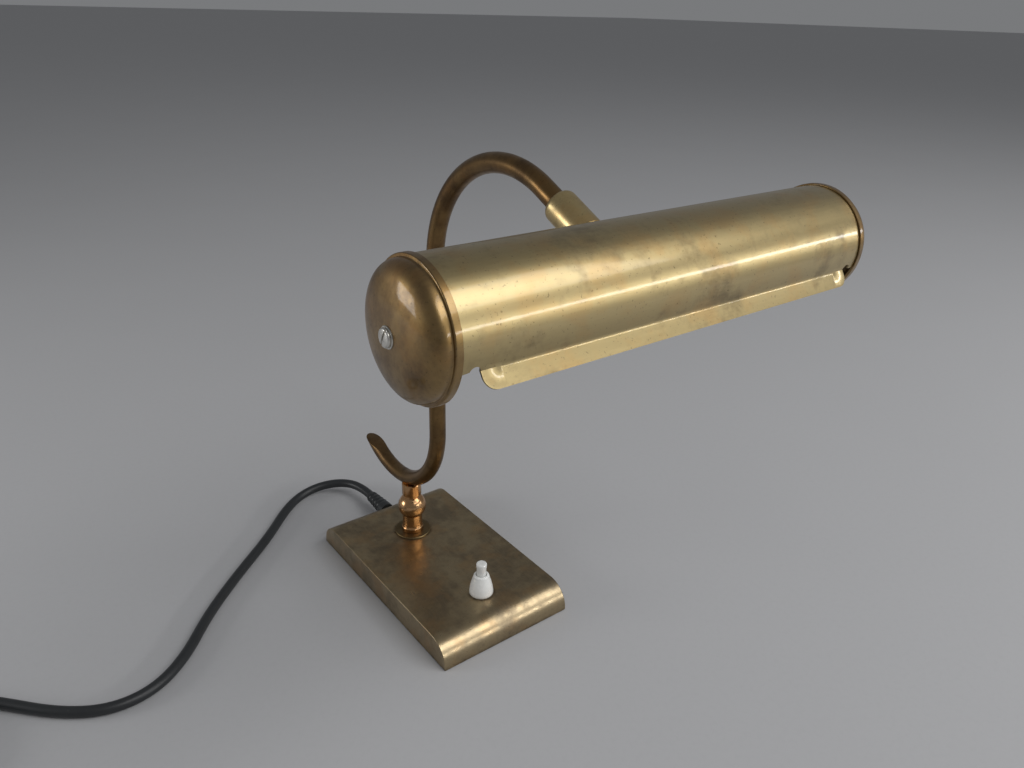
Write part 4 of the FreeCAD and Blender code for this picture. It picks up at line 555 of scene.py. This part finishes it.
def block(size, centre):
    bm = bmesh.new()
    bmesh.ops.create_cube(bm, size=1)
    bmesh.ops.scale(bm, vec=size, verts=bm.verts)
    return moved(bm, centre)


class LampOperator:
    """What every operator of the lamp shares: build makes its pieces."""
    bl_options = {"REGISTER", "UNDO"}

    def execute(self, context):
        self.build(context.scene)
        return {"FINISHED"}


# ---- camera and mains lead -----------------------------------------------------------------------
class LAMP_OT_camera(LampOperator, bpy.types.Operator):
    """Camera above and to the left of the lamp's front"""
    bl_idname = "lamp.camera"
    bl_label = "Camera"

    def build(self, scene):
        data = bpy.data.cameras.new("Camera")
        data.sensor_width = 36
        data.lens = 28.44
        data.dof.use_dof = False
        camera = bpy.data.objects.new("Camera", data)
        heading, height, roll = math.radians(-38.06), math.radians(25.0), math.radians(1.65)
        turn = Matrix.Rotation(heading, 4, "Z") @ Matrix.Rotation(math.pi / 2 - height, 4, "X")
        camera.matrix_world = (Matrix.Translation((-0.2327, -0.36995, 0.34344)) @ turn
                               @ Matrix.Rotation(roll, 4, "Z"))
        scene.collection.objects.link(camera)
        scene.camera = camera


LEAD_START = [
    (2.0, 96.7, 9.0), (2.0, 114.6, 9.0), (-8.6, 130.8, 7.4), (-27.4, 137.2, 5.0),
    (-48.9, 129.4, 3.4), (-78.0, 98.5, 3.2), (-109.0, 72.0, 3.2), (-138.0, 44.4, 3.2),
    (-160.0, 17.0, 3.2), (-181.0, 2.0, 3.2), (-204.0, 1.2, 3.2), (-226.5, 15.2, 3.2),
    (-250.5, 41.5, 3.4),
]
LEAD_END = [(-347.2, 16.0, 11.4), (-346.4, -1.5, 13.2), (-346.4, -16.0, 13.2)]
COIL_CENTRE = (-306.4, 34.2)
COIL_RADII = (43.3, 37.1, 30.9, 24.7, 27.8, 34.0, 40.2)
COIL_BED = 3.8
COIL_UPPER = 9.2
COIL_START = 47.2
COIL_END = 180.0
COIL_STEP = 22.5
COIL_SHIFT_FROM = 200.0
COIL_SHIFT_TO = 350.0


def coil_point(degrees):
    """Point of the tied coil: each turn is round, and steps sideways in one sector."""
    turns, angle = divmod(degrees, 360)
    shift = min(1, max(0, (angle - COIL_SHIFT_FROM) / (COIL_SHIFT_TO - COIL_SHIFT_FROM)))
    ease = shift * shift * (3 - 2 * shift)
    here = int(turns)
    after = min(here + 1, len(COIL_RADII) - 1)
    radius = COIL_RADII[here] + (COIL_RADII[after] - COIL_RADII[here]) * ease
    levels = [COIL_UPPER if turn > 3 else COIL_BED for turn in (here, after)]
    height = levels[0] + (levels[1] - levels[0]) * ease
    if here > 3:
        height += 1.1 * math.sin(math.pi * shift)
    reach = radius / math.cos(math.radians(COIL_STEP / 2))
    return (COIL_CENTRE[0] + reach * math.cos(math.radians(angle)),
            COIL_CENTRE[1] + reach * math.sin(math.radians(angle)), height)


class LAMP_OT_lead(LampOperator, bpy.types.Operator):
    """Mains lead along the table, with its tied coil, its strain relief and its plug"""
    bl_idname = "lamp.lead"
    bl_label = "Mains lead"

    def build(self, scene):
        lead = scene.lamp_lead
        end = COIL_END + 360 * (len(COIL_RADII) - 1)
        count = round((end - COIL_START) / COIL_STEP)
        coil = [coil_point(COIL_START + (end - COIL_START) * i / count) for i in range(count + 1)]
        points = [Vector(p) * MM for p in LEAD_START + coil + LEAD_END]
        curve = bpy.data.curves.new("MainsLead", "CURVE")
        curve.dimensions = "3D"
        curve.bevel_depth = lead.radius
        curve.bevel_resolution = 6
        curve.resolution_u = 8
        curve.use_fill_caps = True
        spline = curve.splines.new("NURBS")
        spline.points.add(len(points) - 1)
        for place, point in zip(points, spline.points):
            point.co = (*place, 1)
        spline.order_u = 3
        spline.use_endpoint_u = True
        curve.materials.append(FINISHES["rubber"])
        cord = bpy.data.objects.new("MainsLead", curve)
        scene.collection.objects.link(cord)
        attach(cord, "stand")
        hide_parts("cord_lead", "cord_coil", "cord_tail")
        with_pieces = [frame["nodes"]["coil_tie"], self.plug(points[-1]), frame["nodes"]["plug_pins"]]
        self.boot(points[0], lead.radius)

    def plug(self, tip):
        """Moulded body with grip ribs and a ribbed boot."""
        low, high = corners("plug_body")
        boot, boot_radius, taper, groove, rings = 24 * MM, 7.5 * MM, 3.2 * MM, 0.5 * MM, 12
        body_low, body_high = low, Vector((high.x, high.y - boot, high.z))
        body = block(body_high - body_low, (body_low + body_high) / 2)
        long_edges = [e for e in body.edges if abs((e.verts[0].co - e.verts[1].co).normalized().y) > 0.9]
        soften(body, 9.5 * MM, 8, edges=long_edges)
        soften(body, 2.2 * MM, 4, sharper=60)
        ribs = [(boot_radius - taper * i / rings - groove * (i % 2), boot * (1 - i / rings))
                for i in range(rings + 1)]
        parts = [body, placed(spun([(0, boot)] + ribs + [(0, 0)], 40),
                              turned_to((tip.x, high.y, tip.z), -Y))]
        rib, first, pitch, sunk = Vector((15, 1.2, 1)) * MM, 9 * MM, 4 * MM, 0.3 * MM
        rise = (high.z - low.z) / 2 - sunk
        for side in (-1, 1):
            for i in range(5):
                grip = block(rib, (tip.x, low.y + first + pitch * i, tip.z + side * rise))
                soften(grip, 0.35 * MM, 2)
                parts.append(grip)
        return piece("PlugBody", joined(*parts), "stand", "black", ["plug_body"],
                     weighted=True)

    def boot(self, start, radius):
        """Tapered strain relief with four shallow rings."""
        sunk, inside = 0.6 * MM, 3 * MM
        root_radius, groove, bore = 5.3 * MM, 0.7 * MM, radius + 0.02 * MM
        root = Vector((start.x, COVER_HIGH.y - sunk, start.z))
        run = start.y - root.y
        profile = [(bore, -inside), (root_radius, -inside), (root_radius, 1.2 * MM)]
        for i in range(4):
            at = (3 + 4.2 * i) * MM
            thick = (5.2 - 0.3 * i) * MM
            profile += [(thick, at), (thick - groove, at + 0.8 * MM), (thick - groove, at + 2.0 * MM),
                        (thick - 0.1 * MM, at + 2.8 * MM)]
        profile += [(3.9 * MM, run - 0.8 * MM), (3.6 * MM, run), (bore, run)]
        relief = placed(spun(profile, 48), turned_to(root, Y))
        piece("StrainRelief", relief, "stand", "rubber", ["cord_boot"])


# ---- base ----------------------------------------------------------------------------------------
class LAMP_OT_base(LampOperator, bpy.types.Operator):
    """Sheet cover of the base, rolled at the front and the back and folded at the sides"""
    bl_idname = "lamp.base"
    bl_label = "Base"

    def build(self, scene):
        sizes = scene.lamp_base
        half, top, foot = COVER_HIGH.y, COVER_TOP, COVER_LOW.z
        roll = sizes.roll_radius
        back = [(half - roll + r, top - roll + h) for r, h in arc((0, 0), roll, 0, 90, 16)]
        outline = [(half, foot)] + back + [(-y, z) for y, z in reversed(back)] + [(-half, foot)]
        bm = bmesh.new()
        verts = [bm.verts.new((COVER_LOW.x, y, z)) for y, z in outline]
        side = bm.faces.new(verts)
        pushed = bmesh.ops.extrude_face_region(bm, geom=[side])["geom"]
        far = [g for g in pushed if isinstance(g, bmesh.types.BMVert)]
        bmesh.ops.translate(bm, vec=(COVER_HIGH.x - COVER_LOW.x, 0, 0), verts=far)
        bmesh.ops.recalc_face_normals(bm, faces=bm.faces)
        under = [f for f in bm.faces if f.normal.z < -0.9]
        bmesh.ops.delete(bm, geom=under, context="FACES_ONLY")
        soften(bm, sizes.fold_radius, 3, sharper=60)
        bmesh.ops.solidify(bm, geom=bm.faces[:], thickness=sizes.sheet)
        piece("BaseCover", bm, "stand", "base", ["base_cover"], weighted=True)


# ---- switch --------------------------------------------------------------------------------------
class LAMP_OT_switch(LampOperator, bpy.types.Operator):
    """Push switch: conical collar and button"""
    bl_idname = "lamp.switch"
    bl_label = "Push switch"

    def build(self, scene):
        s = scene.lamp_switch
        low, high = corners("switch_collar")
        foot_r, height = (high.x - low.x) / 2, high.z - low.z
        waist_r, waist, corner = foot_r - 0.15 * MM, 3 * MM, 1.2 * MM
        shoulder = height - 4.4 * MM
        profile = [(s.body_radius, 0), (foot_r - 0.5 * MM, 0), (foot_r, 0.6 * MM), (foot_r, 1.8 * MM),
                   (waist_r, waist)]
        profile += [(waist_r + (s.top_radius - waist_r) * t ** 1.35, waist + shoulder * t)
                    for t in (0.2, 0.4, 0.6, 0.8, 1.0)]
        profile += arc((s.top_radius - corner, height - 1.4 * MM), corner, 15, 80, 5)
        profile += [(s.bore + 0.25 * MM, height), (s.bore, height - 0.3 * MM), (s.bore, 3.2 * MM),
                    (s.body_radius, 3.2 * MM)]
        piece("SwitchCollar", moved(spun(profile, 72), SWITCH), "stand", "white",
              ["switch_collar"])
        self.button(s)
        self.spring(s)

    def button(self, s):
        low, high = corners("switch_button")
        top, corner = high.z - low.z, 0.9 * MM
        profile = [(0, 0), (s.flange_radius, 0), (s.flange_radius, s.flange_thick),
                   (s.button_radius, s.flange_thick), (s.button_radius, top - 3.2 * MM),
                   (s.head_radius, top - 2.6 * MM), (s.head_radius, top - 1.1 * MM)]
        profile += arc((s.head_radius - corner, top - 0.95 * MM), corner, 10, 80, 5)
        profile += [(1.4 * MM, top - 0.02 * MM), (0, top - 0.12 * MM)]
        button = moved(spun(profile, 56), (0, SWITCH.y, low.z))
        piece("SwitchButton", button, "button", "white", ["switch_button"])

    def spring(self, s):
        """Coil under the button, drawn at its pressed length so that it stays clear of the button."""
        low, high = corners("switch_spring")
        turns = 3
        rise = high.z - low.z - 2 * s.spring_wire - s.travel
        coil = wound((s.spring_radius, 0, 0), Z, s.spring_wire, 12, Z * (rise / turns), turns, 40)
        bmesh.ops.holes_fill(coil, edges=[e for e in coil.edges if e.is_boundary], sides=0)
        moved(coil, (SWITCH.x, SWITCH.y, low.z + s.spring_wire))
        piece("SwitchSpring", coil, "stand", "zinc", ["switch_spring"])


# ---- stem ----------------------------------------------------------------------------------------
class LAMP_OT_stem(LampOperator, bpy.types.Operator):
    """Turned stem with its ball and collar, and the disc under it"""
    bl_idname = "lamp.stem"
    bl_label = "Stem"

    def build(self, scene):
        s = scene.lamp_stem
        low_angle = -math.degrees(math.acos(s.neck_radius / s.ball_radius))
        high_angle = math.degrees(math.acos(s.groove_radius / s.ball_radius))
        foot = s.flange_thick
        profile = [(0, foot), (s.foot_radius - 0.3 * MM, foot), (s.foot_radius, foot + 0.3 * MM),
                   (s.foot_radius, foot + 2.9 * MM), (s.foot_radius - 0.35 * MM, foot + 3.3 * MM),
                   (s.neck_radius + 0.1 * MM, foot + 5.2 * MM), (s.neck_radius, foot + 6.0 * MM)]
        profile += arc((0, s.ball_rise), s.ball_radius, low_angle, high_angle, 22)
        profile += [(s.groove_radius, s.collar_rise), (s.collar_radius - 0.1 * MM, s.collar_rise + 0.3 * MM),
                    (s.collar_radius, s.collar_rise + 0.8 * MM), (s.collar_radius, s.height - 0.5 * MM),
                    (s.collar_radius - 0.5 * MM, s.height), (0, s.height)]
        column = moved(spun(profile), STEM)
        piece("StemColumn", column, "stand", "stem", ["stem_column"])
        rim = s.flange_radius
        disc = spun([(0, 0), (rim, 0), (rim, 0.6 * s.flange_thick), (rim - 0.35 * MM, s.flange_thick),
                     (0, s.flange_thick)])
        piece("StemFlange", moved(disc, STEM), "stand", "flange", ["stem_flange"])


# ---- arm -----------------------------------------------------------------------------------------
HOOK_OVERRUN = math.radians(14)     # tube past the hook's tip, which the slanting cut takes off


class LAMP_OT_arm(LampOperator, bpy.types.Operator):
    """Bent arm: hook with its slanting end, upright, arch and straight end"""
    bl_idname = "lamp.arm"
    bl_label = "Arm"

    def build(self, scene):
        s = scene.lamp_arm
        sweep = math.atan2(-ARM_HEADING.y, ARM_HEADING.z)
        radial = Vector((0, math.cos(sweep), math.sin(sweep)))
        arch_centre = ARM_END - radial * s.arch_radius
        upright_y = arch_centre.y + s.arch_radius
        hook_centre = Vector((0, upright_y + s.hook_radius,
                              corners("arm_tube")[0].z + s.hook_radius + s.tube_radius))
        start_angle = s.hook_tip + HOOK_OVERRUN
        start = hook_centre + Vector((0, math.cos(start_angle), math.sin(start_angle))) * s.hook_radius
        heading = Vector((0, math.sin(start_angle), -math.cos(start_angle)))
        bm = bmesh.new()
        bmesh.ops.create_circle(bm, segments=40, radius=s.tube_radius, cap_ends=False,
                                matrix=turned_to(start, heading))
        ring = swept(bm, bm.verts[:] + bm.edges[:], hook_centre, X, -(math.pi + start_angle), 56)
        ring = self.pull(bm, ring, Vector((0, 0, arch_centre.z - hook_centre.z)), 12)
        ring = swept(bm, ring, arch_centre, X, sweep, 56)
        self.pull(bm, ring, ARM_HEADING * s.end_run, 1)
        self.cut_tip(bm, s, hook_centre)
        bmesh.ops.holes_fill(bm, edges=[e for e in bm.edges if e.is_boundary], sides=0)
        soften(bm, 0.25 * MM, 2, sharper=24)
        piece("ArmTube", bm, "stand", "arm", ["arm_tube", "hook_plug"])

    def pull(self, bm, ring, way, steps):
        """Extends a ring of edges in equal steps, and returns the last ring."""
        for _ in range(steps):
            edges = [g for g in ring if isinstance(g, bmesh.types.BMEdge)]
            ring = bmesh.ops.extrude_edge_only(bm, edges=edges)["geom"]
            verts = [g for g in ring if isinstance(g, bmesh.types.BMVert)]
            bmesh.ops.translate(bm, vec=way / steps, verts=verts)
            ring = [g for g in ring if not isinstance(g, bmesh.types.BMFace)]
            ring = verts + [g for g in ring if isinstance(g, bmesh.types.BMEdge)
                            and all(v in set(verts) for v in g.verts)]
        return ring

    def cut_tip(self, bm, s, centre):
        """Slanting cut through the end of the hook, from its inner to its outer side."""
        def at(angle, radius):
            return centre + Vector((0, math.cos(angle), math.sin(angle))) * radius

        inner = at(s.hook_cut, s.hook_radius - s.tube_radius)
        outer = at(s.hook_tip, s.hook_radius + s.tube_radius)
        normal = X.cross(outer - inner).normalized()
        near = [v for v in bm.verts if (v.co - centre).y > -2 * MM and v.co.z < centre.z]
        patch = set(near)
        edges = [e for e in bm.edges if all(v in patch for v in e.verts)]
        faces = [f for f in bm.faces if all(v in patch for v in f.verts)]
        bmesh.ops.bisect_plane(bm, geom=near + edges + faces, plane_co=inner, plane_no=normal,
                               clear_outer=True)


class LAMP_OT_knuckle(LampOperator, bpy.types.Operator):
    """Sleeve that swivels on the arm and holds the fork"""
    bl_idname = "lamp.knuckle"
    bl_label = "Knuckle"

    def build(self, scene):
        s = scene.lamp_arm
        r, rounding, start, end = s.ferrule_radius, s.ferrule_round, s.ferrule_start, s.ferrule_end
        mouth, face, chamfer = s.tube_radius + 0.06 * MM, start + 3 * MM, 0.4 * MM
        profile = [(mouth, start), (r - rounding + 0.35 * MM, start)]
        profile += arc((r - rounding, start + rounding), rounding, -76, 0, 9)
        profile += [(r, end - chamfer), (r - chamfer, end), (s.ferrule_bore, end), (s.ferrule_bore, face),
                    (mouth, face)]
        sleeve = placed(spun(profile, 80), turned_to(ARM_END, ARM_HEADING))
        piece("Ferrule", sleeve, "swivel", "ferrule", ["ferrule"])


# ---- shade ---------------------------------------------------------------------------------------
class LAMP_OT_shade(LampOperator, bpy.types.Operator):
    """Long tubular shade, open below, with a bent lip along each edge of the opening"""
    bl_idname = "lamp.shade"
    bl_label = "Shade"

    def build(self, scene):
        s = scene.lamp_shade
        low, high = corners("shade_tube")
        half = (high.x - low.x) / 2
        run = CAP_RIM - s.lip_gap
        places = [-half, half] + [-run + 2 * run * i / 24 for i in range(25)]
        places += self.notch_places(-run, s.notch, -1) + self.notch_places(run, s.notch, 1)
        places = sorted(set(round(x, 7) for x in places))
        bm = bmesh.new()
        edge_y, edge_z = -s.radius * math.sin(s.opening), -s.radius * math.cos(s.opening)
        verts = [bm.verts.new((x, edge_y, edge_z)) for x in places]
        edges = [bm.edges.new(pair) for pair in zip(verts, verts[1:])]
        lift = 2 * s.notch / s.radius
        turn = math.tau - 2 * s.opening
        line = verts + edges
        for part, steps in ((lift, 2), (turn - 2 * lift, 72), (lift, 2)):
            line = swept(bm, line, (0, 0, 0), X, -part, steps)
        bmesh.ops.remove_doubles(bm, verts=bm.verts, dist=1e-7)
        self.add_lips(bm, s, run, edge_z)
        self.sink_notches(bm, s, run, edge_z)
        bmesh.ops.recalc_face_normals(bm, faces=bm.faces)
        top = max(bm.faces, key=lambda f: f.calc_center_median().z)
        if top.normal.z < 0:
            bmesh.ops.reverse_faces(bm, faces=bm.faces)
        bmesh.ops.solidify(bm, geom=bm.faces[:], thickness=s.sheet)
        bm.normal_update()
        # Inward faces take the darker copy of the brass, painted shade inside the tube.
        for face in bm.faces:
            centre = face.calc_center_median()
            inward = Vector((0, -centre.y, -centre.z)).dot(face.normal) > 0.5 * centre.yz.length
            face.material_index = 1 if inward and centre.yz.length < s.radius - 0.5 * s.sheet else 0
        soften(bm, 0.2 * MM, 2, sharper=60)
        piece("ShadeTube", moved(bm, SHADE), "shade", ["shade", "shade_inside"],
              ["shade_tube"], recalc=False)

    def notch_places(self, lip_end, depth, side):
        """Positions along the edge that round the relief beside a lip's end."""
        centre = lip_end + side * depth
        return [centre + depth * math.sin(math.radians(a)) for a in range(-75, 91, 15)]

    def add_lips(self, bm, s, run, edge_z):
        """Bends a lip with round corners out of each edge of the opening."""
        def on_edge(v):
            return abs(v.co.z - edge_z) < TINY

        for side in (1, -1):
            edges = [e for e in bm.edges if e.is_boundary
                     and all(on_edge(v) and v.co.y * side < 0 and abs(v.co.x) <= run + TINY for v in e.verts)]
            grown = bmesh.ops.extrude_edge_only(bm, edges=edges)["geom"]
            verts = [g for g in grown if isinstance(g, bmesh.types.BMVert)]
            way = Vector((0, -side * math.cos(s.lip_drop), -math.sin(s.lip_drop)))
            bmesh.ops.translate(bm, vec=way * s.lip_width, verts=verts)
            ends = [v for v in verts if abs(abs(v.co.x) - run) < TINY]
            bevelled(bm, ends, s.lip_corner, 8, affect="VERTICES", clamp=False)
        crease = [e for e in bm.edges if not e.is_boundary
                  and all(on_edge(v) and abs(v.co.x) < run - TINY for v in e.verts)]
        bevelled(bm, crease, 0.9 * MM, 4)

    def sink_notches(self, bm, s, run, edge_z):
        """Moves the edge of the wall up round its axis beside the lips' ends."""
        for v in bm.verts:
            away = abs(v.co.x) - run - s.notch
            on_edge = abs(v.co.z - edge_z) < TINY and v.is_boundary
            if on_edge and abs(away) < s.notch - TINY and abs(v.co.x) > run + TINY:
                climb = math.sqrt(s.notch ** 2 - away ** 2) / s.radius
                way = 1 if v.co.y > 0 else -1
                v.co = Matrix.Rotation(way * climb, 3, "X") @ v.co


class LAMP_OT_caps(LampOperator, bpy.types.Operator):
    """Spun end caps with their washers and slotted screws"""
    bl_idname = "lamp.caps"
    bl_label = "End caps"

    def build(self, scene):
        s = scene.lamp_shade
        skirt_in = s.radius + 0.03 * MM
        skirt_out = skirt_in + s.cap_sheet
        wall, step, bead = s.cap_sheet, s.cap_skirt + s.cap_step, 0.5 * MM
        outside = dome(s.dome_radius, s.dome_rise, step, s.fullness, 40)
        inside = dome(s.dome_radius - wall, s.dome_rise - wall, step, s.fullness, 24)[::-1]
        profile = [(skirt_in, 0.12 * MM), (skirt_in + 0.12 * MM, 0), (skirt_out - 0.2 * MM, 0),
                   (skirt_out, 0.2 * MM), (skirt_out, s.cap_skirt - bead)]
        profile += arc((skirt_out - bead, s.cap_skirt - bead), bead, 15, 75, 4)
        profile += [(skirt_out - 0.7 * MM, s.cap_skirt + 0.02 * MM),
                    (s.dome_radius + 0.2 * MM, s.cap_skirt + 0.1 * MM),
                    (s.dome_radius + 0.02 * MM, s.cap_skirt + 0.35 * MM)]
        profile += outside + inside + [(s.dome_radius - wall, s.cap_skirt), (skirt_in, s.cap_skirt)]
        for name, node, side in (("EndCapLeft", "end_cap_left", -1), ("EndCapRight", "end_cap_right", 1)):
            start = Vector((side * CAP_RIM, SHADE.y, SHADE.z))
            cap = placed(spun(profile, 128), turned_to(start, X * side))
            piece(name, cap, "shade", "cap", [node])
        self.screws(s, CAP_RIM + step + s.dome_rise)

    def screws(self, s, crest):
        """Slotted round-headed screws down to their nuts, each on a thin washer."""
        head_r, shank_r, washer = s.screw_head_radius, s.screw_radius, s.washer
        washer_r, hole = 3.9 * MM, 2.2 * MM
        top, corner, tail, slot_depth = washer + s.screw_head, 0.7 * MM, 3.2 * MM, 0.75 * MM
        depth = crest - corners("cap_nuts")[1].x + tail
        parts, washers = [], []
        for side, slot_angle in ((-1, 62), (1, 15)):
            head = [(0, -depth), (shank_r - 0.3 * MM, -depth), (shank_r, -depth + 0.3 * MM),
                    (shank_r, washer), (head_r - 0.1 * MM, washer), (head_r, washer + 0.15 * MM)]
            head += arc((head_r - corner, top - 0.9 * MM), corner, 0, 78, 6)
            head += [(1.6 * MM, top - 0.04 * MM), (0, top)]
            slot = block((8 * MM, s.screw_slot, 2 * slot_depth), (0, 0, top))
            screw = cut_away(spun(head, 64), slot)
            placed(screw, Matrix.Rotation(math.radians(slot_angle), 4, "Z"))
            soften(screw, 0.1 * MM, 2, sharper=50)
            place = turned_to(Vector((side * crest, SHADE.y, SHADE.z)), X * side)
            parts.append(placed(screw, place))
            disc = spun([(hole, 0.02 * MM), (washer_r, -0.04 * MM), (washer_r, 0.5 * washer),
                         (washer_r - 0.2 * MM, washer), (hole, washer)], 64)
            washers.append(placed(disc, place))
        piece("CapScrews", joined(*parts), "shade", "nickel", ["cap_screws"])
        piece("CapWashers", joined(*washers), "shade", "nickel", ["cap_washers"])


class LAMP_OT_bulbs(LampOperator, bpy.types.Operator):
    """Glass stems and coiled filaments inside the tubular bulbs"""
    bl_idname = "lamp.bulbs"
    bl_label = "Bulbs"

    def build(self, scene):
        foot = corners("bulb_glasses")[1].x
        mount = [(0, 0), (5.2 * MM, 0), (4.0 * MM, 4 * MM), (1.6 * MM, 9 * MM), (1.4 * MM, 17 * MM),
                 (2.0 * MM, 18.5 * MM), (0, 19 * MM)]
        stem = placed(spun(mount, 24), turned_to(Vector((foot, SHADE.y, SHADE.z)), -X))
        piece("BulbStems", mirrored_in_x(stem), "shade", "glass")
        self.filaments(foot)

    def filaments(self, foot):
        """Coiled wire in each bulb."""
        start, turns, pitch, wire, radius = foot - 20 * MM, 22, 0.75 * MM, 0.12 * MM, 0.6 * MM
        parts = []
        for side in (-1, 1):
            coil = moved(wound((0, 0, radius), X, wire, 6, -X * pitch, turns, 12), (start, SHADE.y, SHADE.z))
            bmesh.ops.scale(coil, vec=(side, 1, 1), verts=coil.verts)
            parts.append(coil)
        piece("Filaments", joined(*parts), "shade", "tungsten")


# ---- carried-over nodes ---------------------------------------------------------------------------
NODE_FINISHES = {
    "iron": ("base_weight",),
    "felt": ("base_felt",),
    "zinc": ("base_plate", "plate_screws", "cord_clamp", "clamp_screws", "stem_nipple", "stem_washer",
             "stem_nut", "cap_nuts", "holder_brackets", "bracket_screws", "shade_rail", "stud_nut"),
    "brass": ("swivel_collar", "switch_terminals", "knuckle_fork", "knuckle_tongue", "stud_saddle",
              "holder_nuts"),
    "nickel": ("pivot_screw", "pivot_nut", "bulb_caps", "plug_pins"),
    "white": ("switch_body",),
    "wire": ("base_wires", "arm_lead", "shade_wires"),
    "nylon": ("swivel_washer", "friction_washers"),
    "bakelite": ("lampholders", "terminal_block"),
    "rubber": ("cord_inner_end",),
    "black": ("coil_tie",),
    "glass": ("bulb_glasses",),
}


class LAMP_OT_finish_frame(LampOperator, bpy.types.Operator):
    """Finishes of the pieces that the frame carries over as they are"""
    bl_idname = "lamp.finish_frame"
    bl_label = "Carried-over pieces"

    def build(self, scene):
        for finish, nodes in NODE_FINISHES.items():
            for node in nodes:
                mesh = frame["nodes"][node].data
                mesh.materials.clear()
                mesh.materials.append(FINISHES[finish])


class LAMP_OT_finishes(LampOperator, bpy.types.Operator):
    """All the materials of the lamp"""
    bl_idname = "lamp.finishes"
    bl_label = "Finishes"

    def build(self, scene):
        make_finishes(scene.lamp_finish)


LIGHTS_MEET = Vector((0, -0.08, 0.15))


class LAMP_OT_studio(LampOperator, bpy.types.Operator):
    """Plain floor, soft light all round and three soft lights"""
    bl_idname = "lamp.studio"
    bl_label = "Studio"

    def build(self, scene):
        studio = scene.lamp_studio
        floor = bmesh.new()
        bmesh.ops.create_grid(floor, x_segments=1, y_segments=1, size=30)
        mesh = bpy.data.meshes.new("Floor")
        floor.to_mesh(mesh)
        floor.free()
        mesh.materials.append(floor_paint("FloorPaint", studio.floor))
        plane = bpy.data.objects.new("Floor", mesh)
        scene.collection.objects.link(plane)
        world = bpy.data.worlds.new("Studio")
        world.use_nodes = True
        world.node_tree.nodes["Background"].inputs["Color"].default_value = (*studio.sky, 1)
        scene.world = world
        scene.view_settings.view_transform = "Standard"
        self.light(scene, "Key", (0.70, -1.62, 1.95), 2.4, 1.2, studio.key_power)
        self.light(scene, "Fill", (-1.1, 0.55, 0.35), 0.5, 0.35, studio.fill_power)
        self.light(scene, "Strip", (0.80, -1.15, 0.42), 1.3, 0.07, studio.strip_power)

    def light(self, scene, name, place, width, height, power):
        data = bpy.data.lights.new(name, "AREA")
        data.shape = "RECTANGLE"
        data.size, data.size_y = width, height
        data.energy = power
        light = bpy.data.objects.new(name, data)
        light.location = place
        aim = LIGHTS_MEET - Vector(place)
        light.rotation_euler = aim.to_track_quat("-Z", "Y").to_euler()
        scene.collection.objects.link(light)


class LAMP_PT_panel(bpy.types.Panel):
    """Lists the settings and the steps that build the lamp"""
    bl_idname = "LAMP_PT_panel"
    bl_label = "Brass Desk Lamp"
    bl_space_type = "VIEW_3D"
    bl_region_type = "UI"
    bl_category = "Lamp"

    def draw(self, context):
        for group in SETTINGS:
            settings = getattr(context.scene, group)
            column = self.layout.column(align=True)
            for key in settings.bl_rna.properties.keys():
                if key not in ("rna_type", "name"):
                    column.prop(settings, key)
        for operator in OPERATORS:
            self.layout.operator(operator.bl_idname)


SETTINGS = {
    "lamp_base": LampBaseSettings,
    "lamp_switch": LampSwitchSettings,
    "lamp_stem": LampStemSettings,
    "lamp_arm": LampArmSettings,
    "lamp_shade": LampShadeSettings,
    "lamp_lead": LampLeadSettings,
    "lamp_finish": LampFinishSettings,
    "lamp_studio": LampStudioSettings,
}
OPERATORS = (LAMP_OT_camera, LAMP_OT_finishes, LAMP_OT_lead, LAMP_OT_base, LAMP_OT_switch, LAMP_OT_stem,
             LAMP_OT_arm, LAMP_OT_knuckle, LAMP_OT_shade, LAMP_OT_caps, LAMP_OT_bulbs, LAMP_OT_finish_frame,
             LAMP_OT_studio)


def register():
    for group, settings in SETTINGS.items():
        bpy.utils.register_class(settings)
        setattr(bpy.types.Scene, group, bpy.props.PointerProperty(type=settings))
    for cls in (*OPERATORS, LAMP_PT_panel):
        bpy.utils.register_class(cls)


def unregister():
    for cls in (LAMP_PT_panel, *reversed(OPERATORS)):
        bpy.utils.unregister_class(cls)
    for group, settings in SETTINGS.items():
        delattr(bpy.types.Scene, group)
        bpy.utils.unregister_class(settings)


def main():
    register()
    for operator in OPERATORS:
        group, name = operator.bl_idname.split(".")
        getattr(getattr(bpy.ops, group), name)()


if __name__ == "__main__":
    main()
